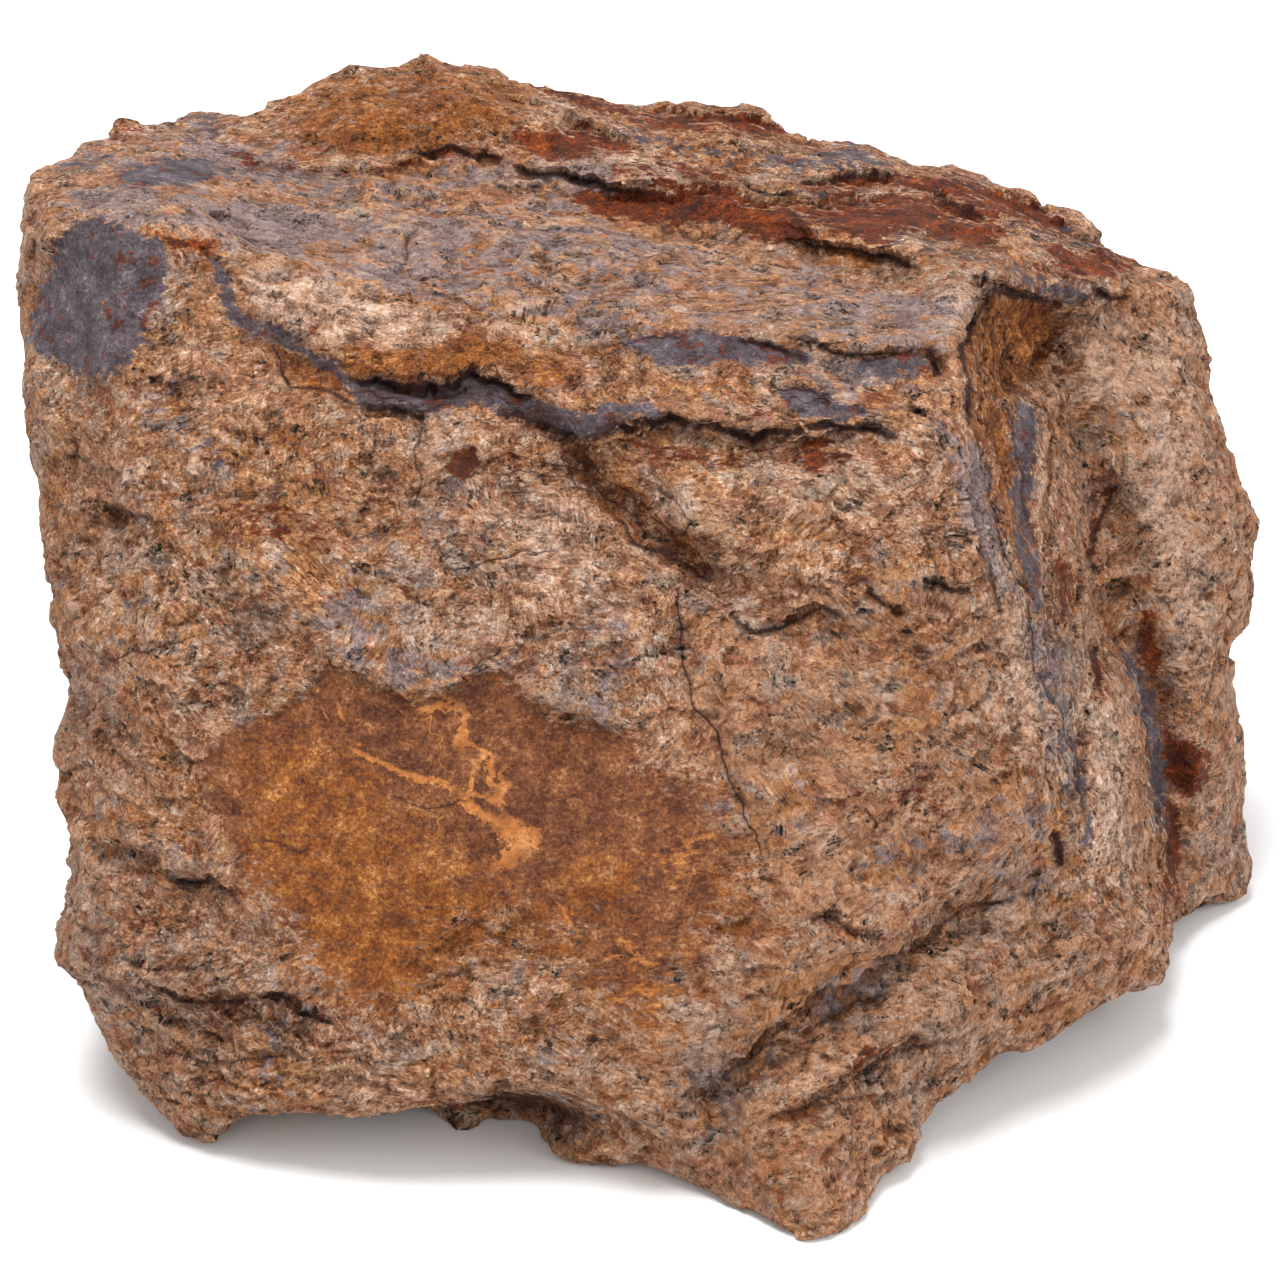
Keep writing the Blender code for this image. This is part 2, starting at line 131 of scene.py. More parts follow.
# Cracks, and dark lines just under ledges that paint their shadow: depth, half width, how dark they are, line.
CRACKS_AND_LEDGE_SHADOWS = [
    (0.7, 0.3, 1.0, drawn(344, 376, 364, 383, 380, 383, 408, 383, 432, 391, 460, 381, 472, 373, 488, 379, 504, 385,
                          516, 393, 536, 397)),
    (0.5, 0.24, 1.0, drawn(360, 407, 384, 405, 404, 411, 424, 422)),
    (0.5, 0.26, 1.0, drawn(494, 409, 520, 418, 548, 427, 576, 438)),
    (0.4, 0.16, 0.8, drawn(370, 403, 421, 413, 450, 404)),
    (0.9, 0.4, 1.0, drawn(576, 440, 600, 434, 619, 429, 658, 422, 674, 418, 697, 423, 724, 430, 752, 439, 775, 435,
                          798, 427, 830, 427, 853, 425, 876, 430, 906, 436)),
    (0.3, 0.1, 0.9, drawn(794, 333, 814, 341, 830, 352, 872, 354, 915, 350, 947, 354)),
    (0.4, 0.24, 1.0, drawn(732, 337, 752, 339, 767, 345, 783, 350, 810, 361)),
    (0.3, 0.12, 0.9, drawn(767, 391, 791, 392, 814, 397, 834, 399)),
    (0.3, 0.1, 0.8, drawn(620, 348, 640, 337, 664, 338, 686, 337)),
    (0.5, 0.5, 1.0, drawn(926, 352, 933, 362, 936, 378)),
    (0.4, 0.4, 0.9, drawn(908, 410, 923, 408)),
    (0.3, 0.2, 0.9, drawn(612, 518, 635, 545, 670, 556, 697, 578, 706, 582)),
    (0.2, 0.12, 0.8, drawn(552, 440, 580, 466, 608, 500, 640, 526, 668, 548)),
    (0.2, 0.1, 0.7, drawn(572, 446, 600, 470, 632, 500, 664, 524, 700, 556)),
    (0.2, 0.08, 0.7, drawn(476, 462, 510, 456, 548, 462, 584, 474)),
    (0.2, 0.08, 0.7, drawn(486, 474, 520, 470, 560, 478, 600, 496)),
    (0.2, 0.1, 0.9, drawn(676, 577, 682, 622, 685, 667, 694, 700, 712, 730, 727, 778, 745, 811, 760, 844, 764, 865)),
    (0.4, 0.2, 0.8, drawn(727, 614, 754, 629, 781, 629, 820, 607, 844, 617)),
    (0.3, 0.18, 0.8, drawn(862, 593, 880, 602, 907, 611)),
    (0.4, 0.22, 0.9, drawn(919, 584, 940, 584, 952, 590, 972, 592)),
    (0.2, 0.1, 0.7, drawn(916, 523, 928, 544, 940, 577)),
    (0.3, 0.14, 0.7, drawn(985, 445, 989, 490, 1000, 540, 1027, 598, 1036, 670, 1060, 706, 1074, 760, 1083, 820)),
    (0.3, 0.2, 0.8, drawn(988, 559, 994, 598, 1003, 616)),
    (0.5, 0.3, 1.0, drawn(1050, 835, 1058, 848, 1065, 861)),
    (0.4, 0.24, 0.6, drawn(700, 1103, 743, 1067, 771, 1040, 807, 1008, 818, 986)),
    (0.3, 0.2, 0.6, drawn(914, 953, 968, 908, 1021, 900)),
    (0.3, 0.2, 0.6, drawn(757, 1125, 789, 1111, 832, 1097, 854, 1075, 893, 1054, 950, 1035)),
    (0.3, 0.16, 0.7, drawn(807, 925, 836, 918, 854, 936, 889, 940)),
    (0.4, 0.2, 0.8, drawn(150, 989, 191, 1002, 225, 1002, 287, 996, 303, 1015, 345, 1027)),
    (0.3, 0.2, 0.8, drawn(175, 882, 195, 884, 214, 881)),
    (0.2, 0.1, 0.7, drawn(109, 660, 140, 654, 180, 643, 202, 632)),
    (0.3, 0.16, 0.6, drawn(416, 228, 410, 244, 404, 262)),
    (0.4, 0.24, 0.8, drawn(1118, 483, 1106, 507, 1097, 535, 1091, 560, 1098, 575)),
    (0.4, 0.28, 0.8, drawn(1092, 645, 1094, 665, 1101, 692)),
    (0.5, 0.24, 0.9, drawn(419, 151, 445, 148, 471, 157, 505, 154)),
    (0.5, 0.24, 0.9, drawn(511, 166, 534, 175, 580, 178, 608, 186, 651, 195)),
    (0.4, 0.2, 0.8, drawn(743, 186, 766, 195, 800, 195)),
    (0.4, 0.24, 0.9, drawn(800, 244, 837, 248, 886, 256, 919, 270)),
    (0.4, 0.2, 0.8, drawn(800, 180, 855, 175, 901, 175)),
    (0.4, 0.2, 0.8, drawn(935, 192, 953, 204, 971, 213, 987, 222)),
    (0.5, 0.3, 0.9, drawn(971, 277, 996, 282, 1026, 293, 1063, 311)),
    (0.4, 0.3, 0.9, drawn(1090, 290, 1127, 299)),
    (0.3, 0.14, 0.9, drawn(272, 346, 284, 378, 292, 388, 316, 390, 340, 400, 362, 405)),
    (0.2, 0.1, 0.8, drawn(440, 570, 480, 564, 520, 552, 560, 550)),
    (0.2, 0.1, 0.7, drawn(395, 795, 430, 805, 470, 800)),
    (0.2, 0.1, 0.7, drawn(262, 838, 290, 850, 310, 852)),
    (0.3, 0.14, 0.6, drawn(800, 1040, 840, 1010, 900, 985)),
    (0.3, 0.14, 0.7, drawn(120, 960, 170, 970, 230, 962)),
    (0.3, 0.14, 0.6, drawn(160, 1050, 230, 1064, 290, 1056)),
    (0.4, 0.24, 0.9, drawn(978, 430, 965, 390, 963, 350, 975, 312, 993, 294, 1030, 296, 1052, 306)),
    (0.3, 0.16, 0.7, drawn(1008, 396, 1012, 440, 1022, 490, 1036, 540, 1052, 600, 1064, 660)),
    (0.3, 0.14, 0.6, drawn(1046, 400, 1052, 450, 1046, 500, 1052, 560, 1066, 620)),
    (0.3, 0.14, 0.7, drawn(1000, 330, 1010, 360, 1030, 372, 1040, 350)),
    (0.2, 0.12, 0.7, drawn(420, 420, 414, 450, 424, 480, 412, 510)),
    (0.2, 0.12, 0.7, drawn(655, 486, 676, 500, 690, 520, 680, 540)),
]

# Scratches that lay the pale orange under the film bare: half width, strength, line.
SCRATCHES = [
    (0.32, 1.0, drawn(416, 712, 432, 708, 448, 706, 464, 708)),
    (0.42, 1.0, drawn(458, 706, 464, 716, 464, 730, 460, 742, 459, 750)),
    (0.16, 1.0, drawn(469, 748, 482, 751, 494, 755)),
    (0.3, 1.0, drawn(488, 760, 490, 774, 492, 790)),
    (0.26, 1.0, drawn(508, 784, 500, 794, 494, 806, 490, 812)),
    (0.16, 0.9, drawn(336, 703, 340, 712, 344, 720)),
    (0.2, 1.0, drawn(352, 748, 370, 758, 387, 765, 408, 776)),
    (0.26, 1.0, drawn(404, 774, 424, 780, 444, 782, 461, 797)),
    (0.4, 1.0, drawn(456, 794, 474, 808, 492, 820, 506, 828)),
    (0.8, 0.95, drawn(500, 824, 516, 834, 528, 838, 520, 850)),
    (0.6, 0.9, drawn(520, 846, 508, 860, 496, 866)),
    (0.12, 0.8, drawn(560, 905, 572, 925, 580, 940)),
]

# Soft valleys: depth, half width, line. A ridge is a valley of negative depth.
VALLEYS = [
    (-0.6, 0.9, drawn(224, 256, 284, 262, 332, 280, 376, 296, 400, 302, 500, 318, 540, 326, 600, 336)),
    (-0.4, 0.8, drawn(580, 354, 610, 350, 642, 354)),
    (0.5, 0.9, drawn(1046, 520, 1052, 600, 1060, 660, 1072, 720, 1084, 800)),
    (-0.5, 0.8, drawn(1036, 520, 1042, 600, 1050, 660, 1062, 720, 1078, 800)),
    (0.6, 1.2, drawn(1136, 600, 1150, 680, 1160, 760, 1170, 860)),
    (1.2, 0.9, drawn(546, 431, 580, 462, 612, 497, 650, 532, 697, 568, 740, 598)),
    (0.7, 1.4, drawn(700, 1110, 743, 1075, 771, 1046, 807, 1014, 850, 990, 914, 956, 968, 912, 1021, 900)),
    (0.6, 1.2, drawn(757, 1131, 789, 1117, 832, 1103, 854, 1080, 893, 1060, 950, 1040)),
    (0.6, 1.2, drawn(150, 995, 191, 1008, 225, 1008, 287, 1002, 303, 1020, 345, 1032)),
    (0.5, 1.2, drawn(430, 470, 500, 455, 560, 470, 600, 500)),
    (0.5, 1.4, drawn(760, 850, 830, 880, 880, 870, 940, 840, 1010, 806)),
]

# Pits: depth, radius, place.
PITS = [
    (0.9, 0.8, drawn(115, 516)), (0.5, 0.5, drawn(170, 390)), (0.5, 0.4, drawn(208, 384)),
    (0.5, 0.6, drawn(690, 574)),
    (0.8, 0.6, drawn(942, 364)), (0.5, 0.4, drawn(924, 411)), (0.4, 0.5, drawn(560, 1000)),
    (0.5, 0.5, drawn(862, 1060)), (0.4, 0.4, drawn(905, 800)), (0.8, 0.7, drawn(500, 1096)),
    (0.5, 0.4, drawn(1098, 678)), (0.4, 0.5, drawn(880, 1150)), (0.4, 0.4, drawn(157, 382)),
]

# Flaky parts of the near half: how much, how soft the edge is, how steeply the layers rise to the right,
# outline.
FLAKY = [
    (1.0, 5.0, -0.15, drawn(60, 900, 400, 960, 480, 1090, 200, 1160, 90, 1040)),
    (0.6, 5.0, 0.55, drawn(640, 1110, 900, 900, 1180, 860, 1160, 990, 900, 1160, 820, 1260)),
    (0.4, 4.0, 2.5, drawn(1090, 270, 1200, 280, 1260, 560, 1250, 880, 1100, 900, 1080, 520)),
    (0.7, 4.0, -0.25, drawn(400, 60, 900, 130, 1140, 260, 960, 280, 700, 200, 460, 160)),
    (0.6, 4.0, 0.1, drawn(700, 560, 980, 580, 980, 660, 860, 690, 700, 640)),
    (0.6, 4.0, -0.2, drawn(340, 620, 640, 640, 650, 740, 480, 690, 340, 700)),
    (0.6, 4.0, 1.5, drawn(20, 380, 260, 380, 240, 620, 40, 620)),
]
FAR_RISE = -0.2

# Stains and crusts, and under "dark" mostly patches of painted shade: how soft the edge is, how fully it covers,
# outline.
STAINS = {
    "even": [
        (3.0, 1.0, drawn(1060, 290, 1200, 270, 1262, 480, 1262, 900, 1180, 930, 1130, 880, 1080, 600, 1050, 400)),
        (3.0, 0.9, drawn(700, 620, 1000, 600, 1080, 880, 1180, 900, 1170, 990, 900, 1200, 820, 1260, 640, 1150,
                         640, 960)),
        (2.0, 0.8, drawn(60, 170, 300, 150, 560, 160, 760, 240, 960, 290, 950, 340, 600, 330, 400, 296, 226, 246)),
    ],
    "coat": [
        (0.7, 1.0, drawn(69, 224, 95, 214, 120, 229, 163, 238, 165, 261, 161, 290, 149, 324, 138, 350, 120, 373,
                         89, 377, 57, 364, 32, 345, 32, 318, 46, 278, 57, 244)),
        (0.6, 1.0, drawn(115, 168, 160, 160, 218, 158, 215, 176, 184, 185, 138, 189, 112, 182)),
        (0.6, 0.9, drawn(57, 160, 98, 154, 118, 160, 95, 168, 55, 168)),
        (1.2, 0.7, drawn(170, 112, 210, 108, 240, 122, 215, 130, 172, 122)),
        (0.6, 1.0, drawn(208, 254, 224, 270, 236, 302, 260, 322, 284, 326, 304, 346, 332, 358, 348, 376, 388, 379,
                         424, 386, 464, 379, 472, 371, 496, 378, 516, 392, 552, 404, 584, 418, 600, 438, 572, 438,
                         540, 428, 504, 412, 472, 404, 440, 408, 428, 416, 400, 412, 364, 408, 340, 384, 312, 360,
                         272, 344, 228, 320, 212, 284)),
        (0.6, 0.8, drawn(1014, 398, 1039, 405, 1044, 459, 1034, 472, 1034, 536, 1046, 610, 1028, 610, 1016, 536,
                         1008, 459)),
        (0.6, 0.95, drawn(783, 391, 822, 395, 853, 401, 866, 411, 830, 420, 798, 416, 775, 403)),
        (0.5, 0.95, drawn(615, 341, 685, 331, 732, 334, 798, 346, 814, 364, 783, 362, 752, 364, 728, 360, 697, 366,
                          658, 362, 636, 352)),
        (0.7, 0.9, drawn(850, 357, 900, 354, 926, 354, 926, 372, 890, 380, 850, 374)),
        (0.7, 0.8, drawn(576, 410, 603, 401, 660, 402, 676, 414, 627, 427, 580, 438)),
        (0.6, 0.8, drawn(1116, 641, 1136, 650, 1156, 700, 1168, 777, 1168, 838, 1154, 830, 1148, 770, 1132, 700)),
        (0.5, 0.7, drawn(1044, 610, 1056, 650, 1060, 700, 1084, 760, 1094, 850, 1084, 850, 1070, 760, 1050, 700,
                         1042, 650)),
        (1.0, 0.7, drawn(800, 149, 855, 140, 916, 169, 861, 173, 800, 170, 700, 160, 666, 150)),
        (1.0, 0.8, drawn(800, 192, 876, 192, 861, 204, 815, 209)),
        (0.9, 0.7, drawn(600, 120, 660, 132, 700, 140, 690, 152, 640, 148, 600, 134)),
        (0.9, 0.7, drawn(740, 146, 800, 152, 850, 166, 800, 172, 740, 164)),
        (1.2, 0.7, drawn(892, 232, 935, 241, 984, 253, 971, 259, 922, 256, 892, 247)),
        (1.2, 0.8, drawn(996, 259, 1100, 296, 1094, 305, 1063, 308, 1014, 281)),
        (1.2, 0.7, drawn(1020, 219, 1106, 235, 1109, 250, 1063, 247, 1014, 238)),
        (0.9, 0.6, drawn(203, 425, 222, 440, 228, 465, 216, 486, 206, 470)),
    ],
    "veil": [
        (1.6, 1.0, drawn(60, 190, 130, 186, 230, 190, 330, 200, 400, 220, 330, 250, 250, 250, 160, 222, 80, 206)),
        (2.0, 0.9, drawn(100, 150, 200, 130, 300, 150, 330, 180, 230, 195, 110, 190)),
        (1.0, 0.7, drawn(800, 360, 860, 362, 925, 358, 940, 366, 900, 384, 850, 392, 800, 386)),
        (0.6, 1.0, drawn(933, 396, 949, 424, 965, 430, 984, 446, 991, 478, 996, 536, 1023, 597, 994, 597, 978, 552,
                         962, 520, 949, 472, 936, 434)),
        (1.4, 0.9, drawn(1030, 600, 1050, 640, 1066, 700, 1080, 780, 1070, 800, 1050, 720, 1034, 660)),
        (1.6, 0.8, drawn(511, 160, 534, 168, 574, 170, 620, 180, 655, 190, 600, 188, 540, 182)),
        (1.0, 0.52, drawn(190, 200, 330, 170, 480, 165, 570, 190, 640, 230, 760, 250, 900, 285, 970, 300, 956, 348,
                         860, 345, 720, 332, 600, 330, 500, 312, 400, 298, 332, 276, 284, 256, 226, 250)),
        (2.0, 0.6, drawn(640, 545, 700, 560, 740, 600, 700, 600, 650, 570)),
        (2.0, 0.6, drawn(330, 600, 420, 640, 520, 650, 620, 690, 600, 720, 500, 690, 420, 690, 340, 650)),
        (1.6, 0.6, drawn(200, 960, 260, 985, 330, 1010, 360, 1030, 300, 1040, 230, 1000)),
        (2.0, 0.6, drawn(860, 850, 940, 820, 1020, 800, 1010, 850, 920, 870, 870, 880)),
        (2.0, 0.6, drawn(700, 1080, 760, 1040, 830, 990, 900, 950, 880, 990, 800, 1040, 740, 1090)),
        (1.6, 0.6, drawn(150, 837, 208, 833, 212, 878, 175, 882)),
    ],
    "rust": [
        (0.8, 1.0, drawn(574, 192, 597, 191, 689, 193, 714, 186, 800, 215, 830, 244, 760, 241, 720, 222, 680, 226,
                         646, 224, 608, 218, 588, 212)),
        (1.0, 1.0, drawn(514, 129, 580, 126, 608, 135, 637, 149, 597, 149, 574, 160, 522, 155)),
        (1.0, 0.9, drawn(499, 69, 551, 80, 651, 112, 723, 115, 780, 132, 680, 137, 608, 117, 534, 92)),
        (1.0, 0.9, drawn(651, 158, 723, 172, 766, 175, 694, 183, 666, 170)),
        (0.9, 1.0, drawn(790, 180, 876, 173, 932, 175, 971, 180, 1014, 192, 1042, 213, 990, 216, 938, 192, 886, 189,
                         800, 190)),
        (0.9, 1.0, drawn(770, 205, 831, 206, 876, 198, 928, 192, 984, 216, 1008, 235, 990, 250, 935, 238, 892, 232,
                         889, 247, 852, 232, 800, 216)),
        (0.8, 1.0, drawn(1040, 244, 1106, 248, 1142, 266, 1106, 276, 1060, 268)),
        (0.8, 0.95, drawn(1000, 186, 1040, 206, 1082, 230, 1108, 238, 1090, 244, 1040, 232, 1000, 214, 960, 196)),
        (0.8, 0.9, drawn(700, 112, 745, 110, 785, 126, 800, 134, 750, 138, 700, 130)),
        (0.7, 0.85, drawn(610, 160, 650, 166, 690, 182, 720, 186, 700, 192, 650, 178, 600, 172)),
        (0.8, 0.9, drawn(1030, 265, 1075, 271, 1066, 281, 1033, 274)),
        (1.0, 0.8, drawn(129, 226, 184, 229, 218, 244, 212, 255, 181, 255, 161, 247, 138, 234)),
        (1.0, 0.85, drawn(224, 140, 250, 156, 300, 166, 400, 162, 452, 152, 452, 158, 400, 170, 300, 174, 240, 166)),
        (1.0, 0.8, drawn(104, 115, 130, 124, 160, 132, 130, 142, 106, 136)),
        (0.9, 0.9, drawn(1096, 470, 1114, 478, 1106, 510, 1100, 545, 1090, 560, 1086, 540, 1098, 505)),
        (0.9, 0.9, drawn(1088, 640, 1100, 650, 1104, 690, 1112, 700, 1098, 700, 1090, 670)),
        (0.8, 0.95, drawn(1146, 722, 1170, 732, 1207, 748, 1211, 788, 1184, 799, 1156, 772)),
        (0.7, 0.95, drawn(1165, 795, 1182, 802, 1176, 900, 1164, 930, 1158, 858)),
        (2.0, 0.6, drawn(900, 760, 940, 770, 950, 800, 920, 830, 890, 800)),
        (0.7, 0.5, drawn(1008, 304, 1036, 300, 1050, 322, 1040, 336, 1020, 340, 1006, 326)),
        (0.5, 0.8, drawn(990, 286, 1013, 289, 1036, 292, 1060, 304, 1062, 312, 1036, 302, 1010, 298, 988, 298)),
        (0.7, 0.85, drawn(1140, 610, 1160, 614, 1163, 668, 1146, 695, 1138, 650)),
        (0.5, 0.8, drawn(1052, 545, 1066, 560, 1074, 610, 1062, 620, 1054, 590)),
        (0.7, 0.7, drawn(732, 407, 767, 405, 770, 420, 740, 424)),
        (0.5, 0.65, drawn(842, 1068, 864, 1046, 904, 1036, 908, 1046, 872, 1064, 852, 1078)),
        (1.2, 0.5, drawn(215, 500, 250, 490, 320, 500, 330, 540, 290, 550, 240, 530)),
        (0.25, 1.0, drawn(452, 453, 478, 449, 473, 468, 457, 488, 447, 474)),
        (0.6, 0.7, drawn(800, 436, 830, 438, 828, 470, 812, 478, 800, 460)),
        (1.4, 0.6, drawn(575, 440, 640, 436, 760, 444, 880, 445, 890, 470, 800, 470, 700, 470, 620, 460)),
    ],
    "ochre": [
        (1.0, 0.95, drawn(339, 123, 367, 115, 408, 132, 431, 149, 396, 155, 344, 155, 304, 149, 316, 132)),
        (2.0, 0.75, drawn(280, 120, 310, 80, 400, 66, 440, 50, 500, 75, 530, 110, 500, 150, 400, 160, 300, 160)),
        (0.7, 0.95, drawn(340, 346, 424, 350, 472, 332, 520, 340, 528, 362, 480, 374, 466, 374, 440, 386, 360, 378,
                          344, 366)),
        (0.8, 0.8, drawn(520, 358, 584, 362, 582, 382, 544, 396, 520, 390, 506, 376)),
        (0.8, 0.85, drawn(276, 350, 324, 356, 344, 376, 344, 399, 301, 390, 284, 381)),
        (0.6, 1.0, drawn(988, 294, 1048, 299, 1054, 344, 1040, 376, 1018, 391, 1004, 400, 990, 386, 972, 344,
                         974, 314)),
        (0.6, 0.85, drawn(966, 322, 994, 386, 1007, 414, 1013, 472, 1026, 536, 1036, 597, 1026, 597, 1016, 552,
                          996, 504, 990, 459, 978, 434, 960, 360)),
        (1.0, 0.9, drawn(800, 250, 831, 247, 861, 256, 895, 267, 880, 271, 831, 262)),
        (2.2, 0.6, drawn(201, 489, 329, 480, 329, 547, 284, 559, 265, 534, 214, 521)),
        (1.8, 0.6, drawn(262, 413, 341, 406, 329, 438, 278, 445)),
        (2.6, 0.7, drawn(300, 880, 360, 870, 440, 900, 500, 890, 560, 930, 590, 960, 500, 960, 440, 990, 410, 1020,
                         360, 1010, 320, 960)),
        (2.0, 0.55, drawn(560, 840, 650, 850, 640, 920, 590, 960, 540, 930)),
        (3.0, 0.6, drawn(220, 750, 330, 710, 400, 790, 520, 880, 600, 940, 440, 1000, 330, 1000, 250, 900)),
        (2.4, 0.5, drawn(600, 950, 700, 940, 690, 1010, 650, 1060, 600, 1040)),
        (2.0, 0.5, drawn(900, 620, 950, 640, 940, 720, 900, 700)),
        (0.8, 0.55, drawn(470, 455, 560, 462, 552, 432, 590, 440, 640, 480, 700, 550, 690, 570, 640, 560, 600, 520,
                         570, 484, 520, 474, 474, 470)),
        (1.6, 0.6, drawn(1100, 560, 1120, 580, 1112, 640, 1096, 620)),
        (1.4, 0.7, drawn(100, 500, 126, 510, 116, 540, 98, 524)),
        (1.8, 0.5, drawn(60, 690, 130, 700, 190, 730, 120, 760, 60, 740)),
        (1.6, 0.6, drawn(1120, 950, 1165, 960, 1160, 990, 1110, 990)),
        (1.6, 0.5, drawn(740, 1160, 800, 1150, 800, 1220, 750, 1210)),
        (1.2, 0.5, drawn(720, 1180, 760, 1120, 830, 1080, 850, 1090, 790, 1130, 750, 1190)),
        (1.6, 0.5, drawn(700, 860, 780, 880, 800, 940, 740, 960, 700, 920)),
        (1.6, 0.45, drawn(940, 1040, 1000, 1010, 1060, 1000, 1050, 1030, 980, 1060)),
    ],
    "film": [
        (0.8, 1.0, drawn(204, 740, 255, 721, 303, 697, 330, 662, 357, 681, 386, 689, 415, 708, 434, 698, 472, 676,
                         501, 676, 533, 702, 549, 724, 596, 730, 640, 748, 600, 860, 520, 900, 400, 900,
                         280, 860, 225, 830, 205, 790)),
        (3.0, 1.0, drawn(225, 800, 400, 780, 600, 740, 690, 790, 710, 840, 690, 880, 640, 900, 590, 910, 540, 930,
                         500, 900, 430, 920, 400, 1000, 350, 1010, 310, 950, 260, 900)),
        (3.0, 0.85, drawn(600, 750, 700, 780, 745, 850, 740, 900, 690, 980, 620, 1020, 560, 960)),
    ],
    "scratch": [
        (0.6, 0.8, drawn(129, 226, 184, 229, 218, 244, 212, 255, 181, 255, 161, 247, 138, 234)),
        # Painted light: pale orange laid into the shaded pocket to lighten it.
        (0.8, 0.5, drawn(996, 306, 1044, 306, 1048, 344, 1034, 376, 1014, 384, 1000, 350)),
        (0.4, 0.7, drawn(648, 852, 658, 852, 656, 878, 642, 880)),
        (0.4, 0.6, drawn(630, 888, 650, 886, 648, 896, 632, 896)),
        (0.4, 0.6, drawn(700, 826, 730, 828, 728, 836, 704, 838)),
        (0.5, 0.36, drawn(590, 930, 650, 935, 690, 960, 680, 1010, 640, 1030, 600, 990)),
        (0.5, 0.36, drawn(640, 850, 700, 830, 710, 880, 660, 900)),
        (0.5, 0.6, drawn(338, 735, 362, 730, 382, 738, 378, 746, 350, 744)),
    ],
    "pale": [
        (1.0, 1.0, drawn(655, 490, 690, 486, 700, 505, 676, 520, 656, 512)),
        (1.6, 0.7, drawn(420, 430, 470, 420, 476, 450, 430, 470, 412, 455)),
        (2.4, 0.6, drawn(480, 520, 560, 500, 600, 540, 560, 590, 500, 580)),
        (2.0, 0.6, drawn(590, 580, 660, 600, 650, 640, 600, 640)),
        (2.0, 0.6, drawn(850, 600, 880, 600, 890, 630, 860, 640)),
        (2.0, 0.6, drawn(400, 600, 520, 610, 500, 650, 430, 660, 390, 640)),
        (2.0, 0.6, drawn(108, 460, 150, 455, 155, 490, 120, 500)),
        (2.0, 0.5, drawn(170, 420, 200, 425, 200, 470, 170, 470)),
        (1.6, 0.7, drawn(470, 960, 510, 955, 530, 985, 480, 1000)),
        (2.0, 0.6, drawn(545, 1040, 600, 1030, 610, 1080, 560, 1090)),
        (2.4, 0.6, drawn(870, 980, 950, 970, 950, 1010, 890, 1030)),
        (2.0, 0.5, drawn(1010, 905, 1050, 890, 1060, 930, 1020, 945)),
        (0.8, 0.65, drawn(236, 262, 284, 264, 332, 282, 400, 304, 500, 320, 600, 338, 576, 350, 530, 342, 480, 330,
                         430, 342, 340, 340, 300, 326, 260, 306, 244, 290)),
        (1.0, 0.75, drawn(1078, 695, 1129, 702, 1129, 858, 1096, 872, 1090, 780)),
        (0.8, 0.7, drawn(940, 290, 976, 290, 962, 318, 958, 344, 930, 346, 920, 320)),
        (1.4, 0.7, drawn(545, 85, 580, 95, 582, 125, 560, 130, 540, 110)),
        (1.4, 0.8, drawn(590, 150, 650, 150, 700, 180, 660, 190, 610, 170)),
        (2.0, 0.6, drawn(740, 440, 880, 450, 900, 500, 800, 520, 740, 480)),
        (2.4, 0.6, drawn(1060, 320, 1130, 330, 1150, 420, 1110, 450, 1070, 400)),
        (2.6, 0.6, drawn(1120, 330, 1180, 310, 1215, 480, 1210, 690, 1150, 690, 1130, 520)),
        (2.0, 0.8, drawn(1000, 620, 1050, 660, 1060, 760, 1010, 720)),
        (2.0, 0.5, drawn(80, 560, 120, 560, 140, 620, 90, 640)),
    ],
    # Painted shade: dark patches drawn mostly where shade falls, under overhangs and ledges, in pits and valleys and
    # along the foot; a few are dark spots of the rock.
    "dark": [
        (0.5, 0.9, drawn(990, 285, 1013, 288, 1036, 291, 1058, 302, 1056, 307, 1034, 298, 1010, 294, 986, 300, 972, 322,
                         966, 318, 978, 300)),
        (0.5, 0.7, drawn(1160, 800, 1170, 806, 1172, 860, 1164, 880, 1158, 840)),
        (0.5, 0.42, drawn(208, 254, 224, 270, 236, 302, 260, 322, 284, 326, 304, 346, 332, 358, 348, 376, 388, 379,
                          424, 386, 464, 379, 496, 378, 516, 392, 552, 404, 584, 418, 600, 438, 540, 428, 472, 404,
                          428, 416, 364, 408, 312, 360, 228, 320)),
        (2.0, 0.5, drawn(200, 590, 260, 575, 310, 600, 300, 660, 230, 660)),
        (1.6, 0.5, drawn(300, 1080, 420, 1076, 440, 1090, 320, 1100)),
        (0.9, 1.0, drawn(455, 1092, 494, 1089, 540, 1090, 548, 1100, 575, 1106, 610, 1120, 560, 1124, 520, 1108,
                         470, 1104)),
        (2.0, 0.7, drawn(190, 1130, 250, 1112, 330, 1106, 330, 1116, 250, 1124, 210, 1150)),
        (1.2, 0.7, drawn(700, 1098, 740, 1066, 770, 1040, 780, 1046, 750, 1080, 712, 1112)),
        (1.4, 0.6, drawn(660, 545, 700, 560, 710, 590, 680, 590)),
        (0.5, 0.7, drawn(556, 436, 584, 458, 616, 492, 654, 526, 692, 556, 708, 578, 690, 574, 650, 544, 612, 512,
                         582, 476, 562, 452)),
        (0.3, 0.4, drawn(478, 521, 490, 521, 489, 547, 480, 547)),
        (0.3, 0.75, drawn(452, 453, 478, 449, 473, 468, 457, 488, 447, 474)),
        (2.4, 0.3, drawn(1050, 885, 1150, 880, 1160, 940, 1070, 965)),
        (0.4, 0.8, drawn(560, 535, 580, 530, 582, 540, 564, 545)),
        (0.5, 0.8, drawn(100, 500, 122, 503, 124, 530, 108, 528)),
        (1.2, 0.6, drawn(210, 590, 260, 580, 300, 600, 290, 640, 230, 650)),
        (0.8, 0.8, drawn(1045, 834, 1060, 836, 1066, 862, 1054, 860)),
        (1.4, 0.6, drawn(840, 1068, 900, 1040, 960, 1025, 930, 1042, 870, 1078)),
    ],
}


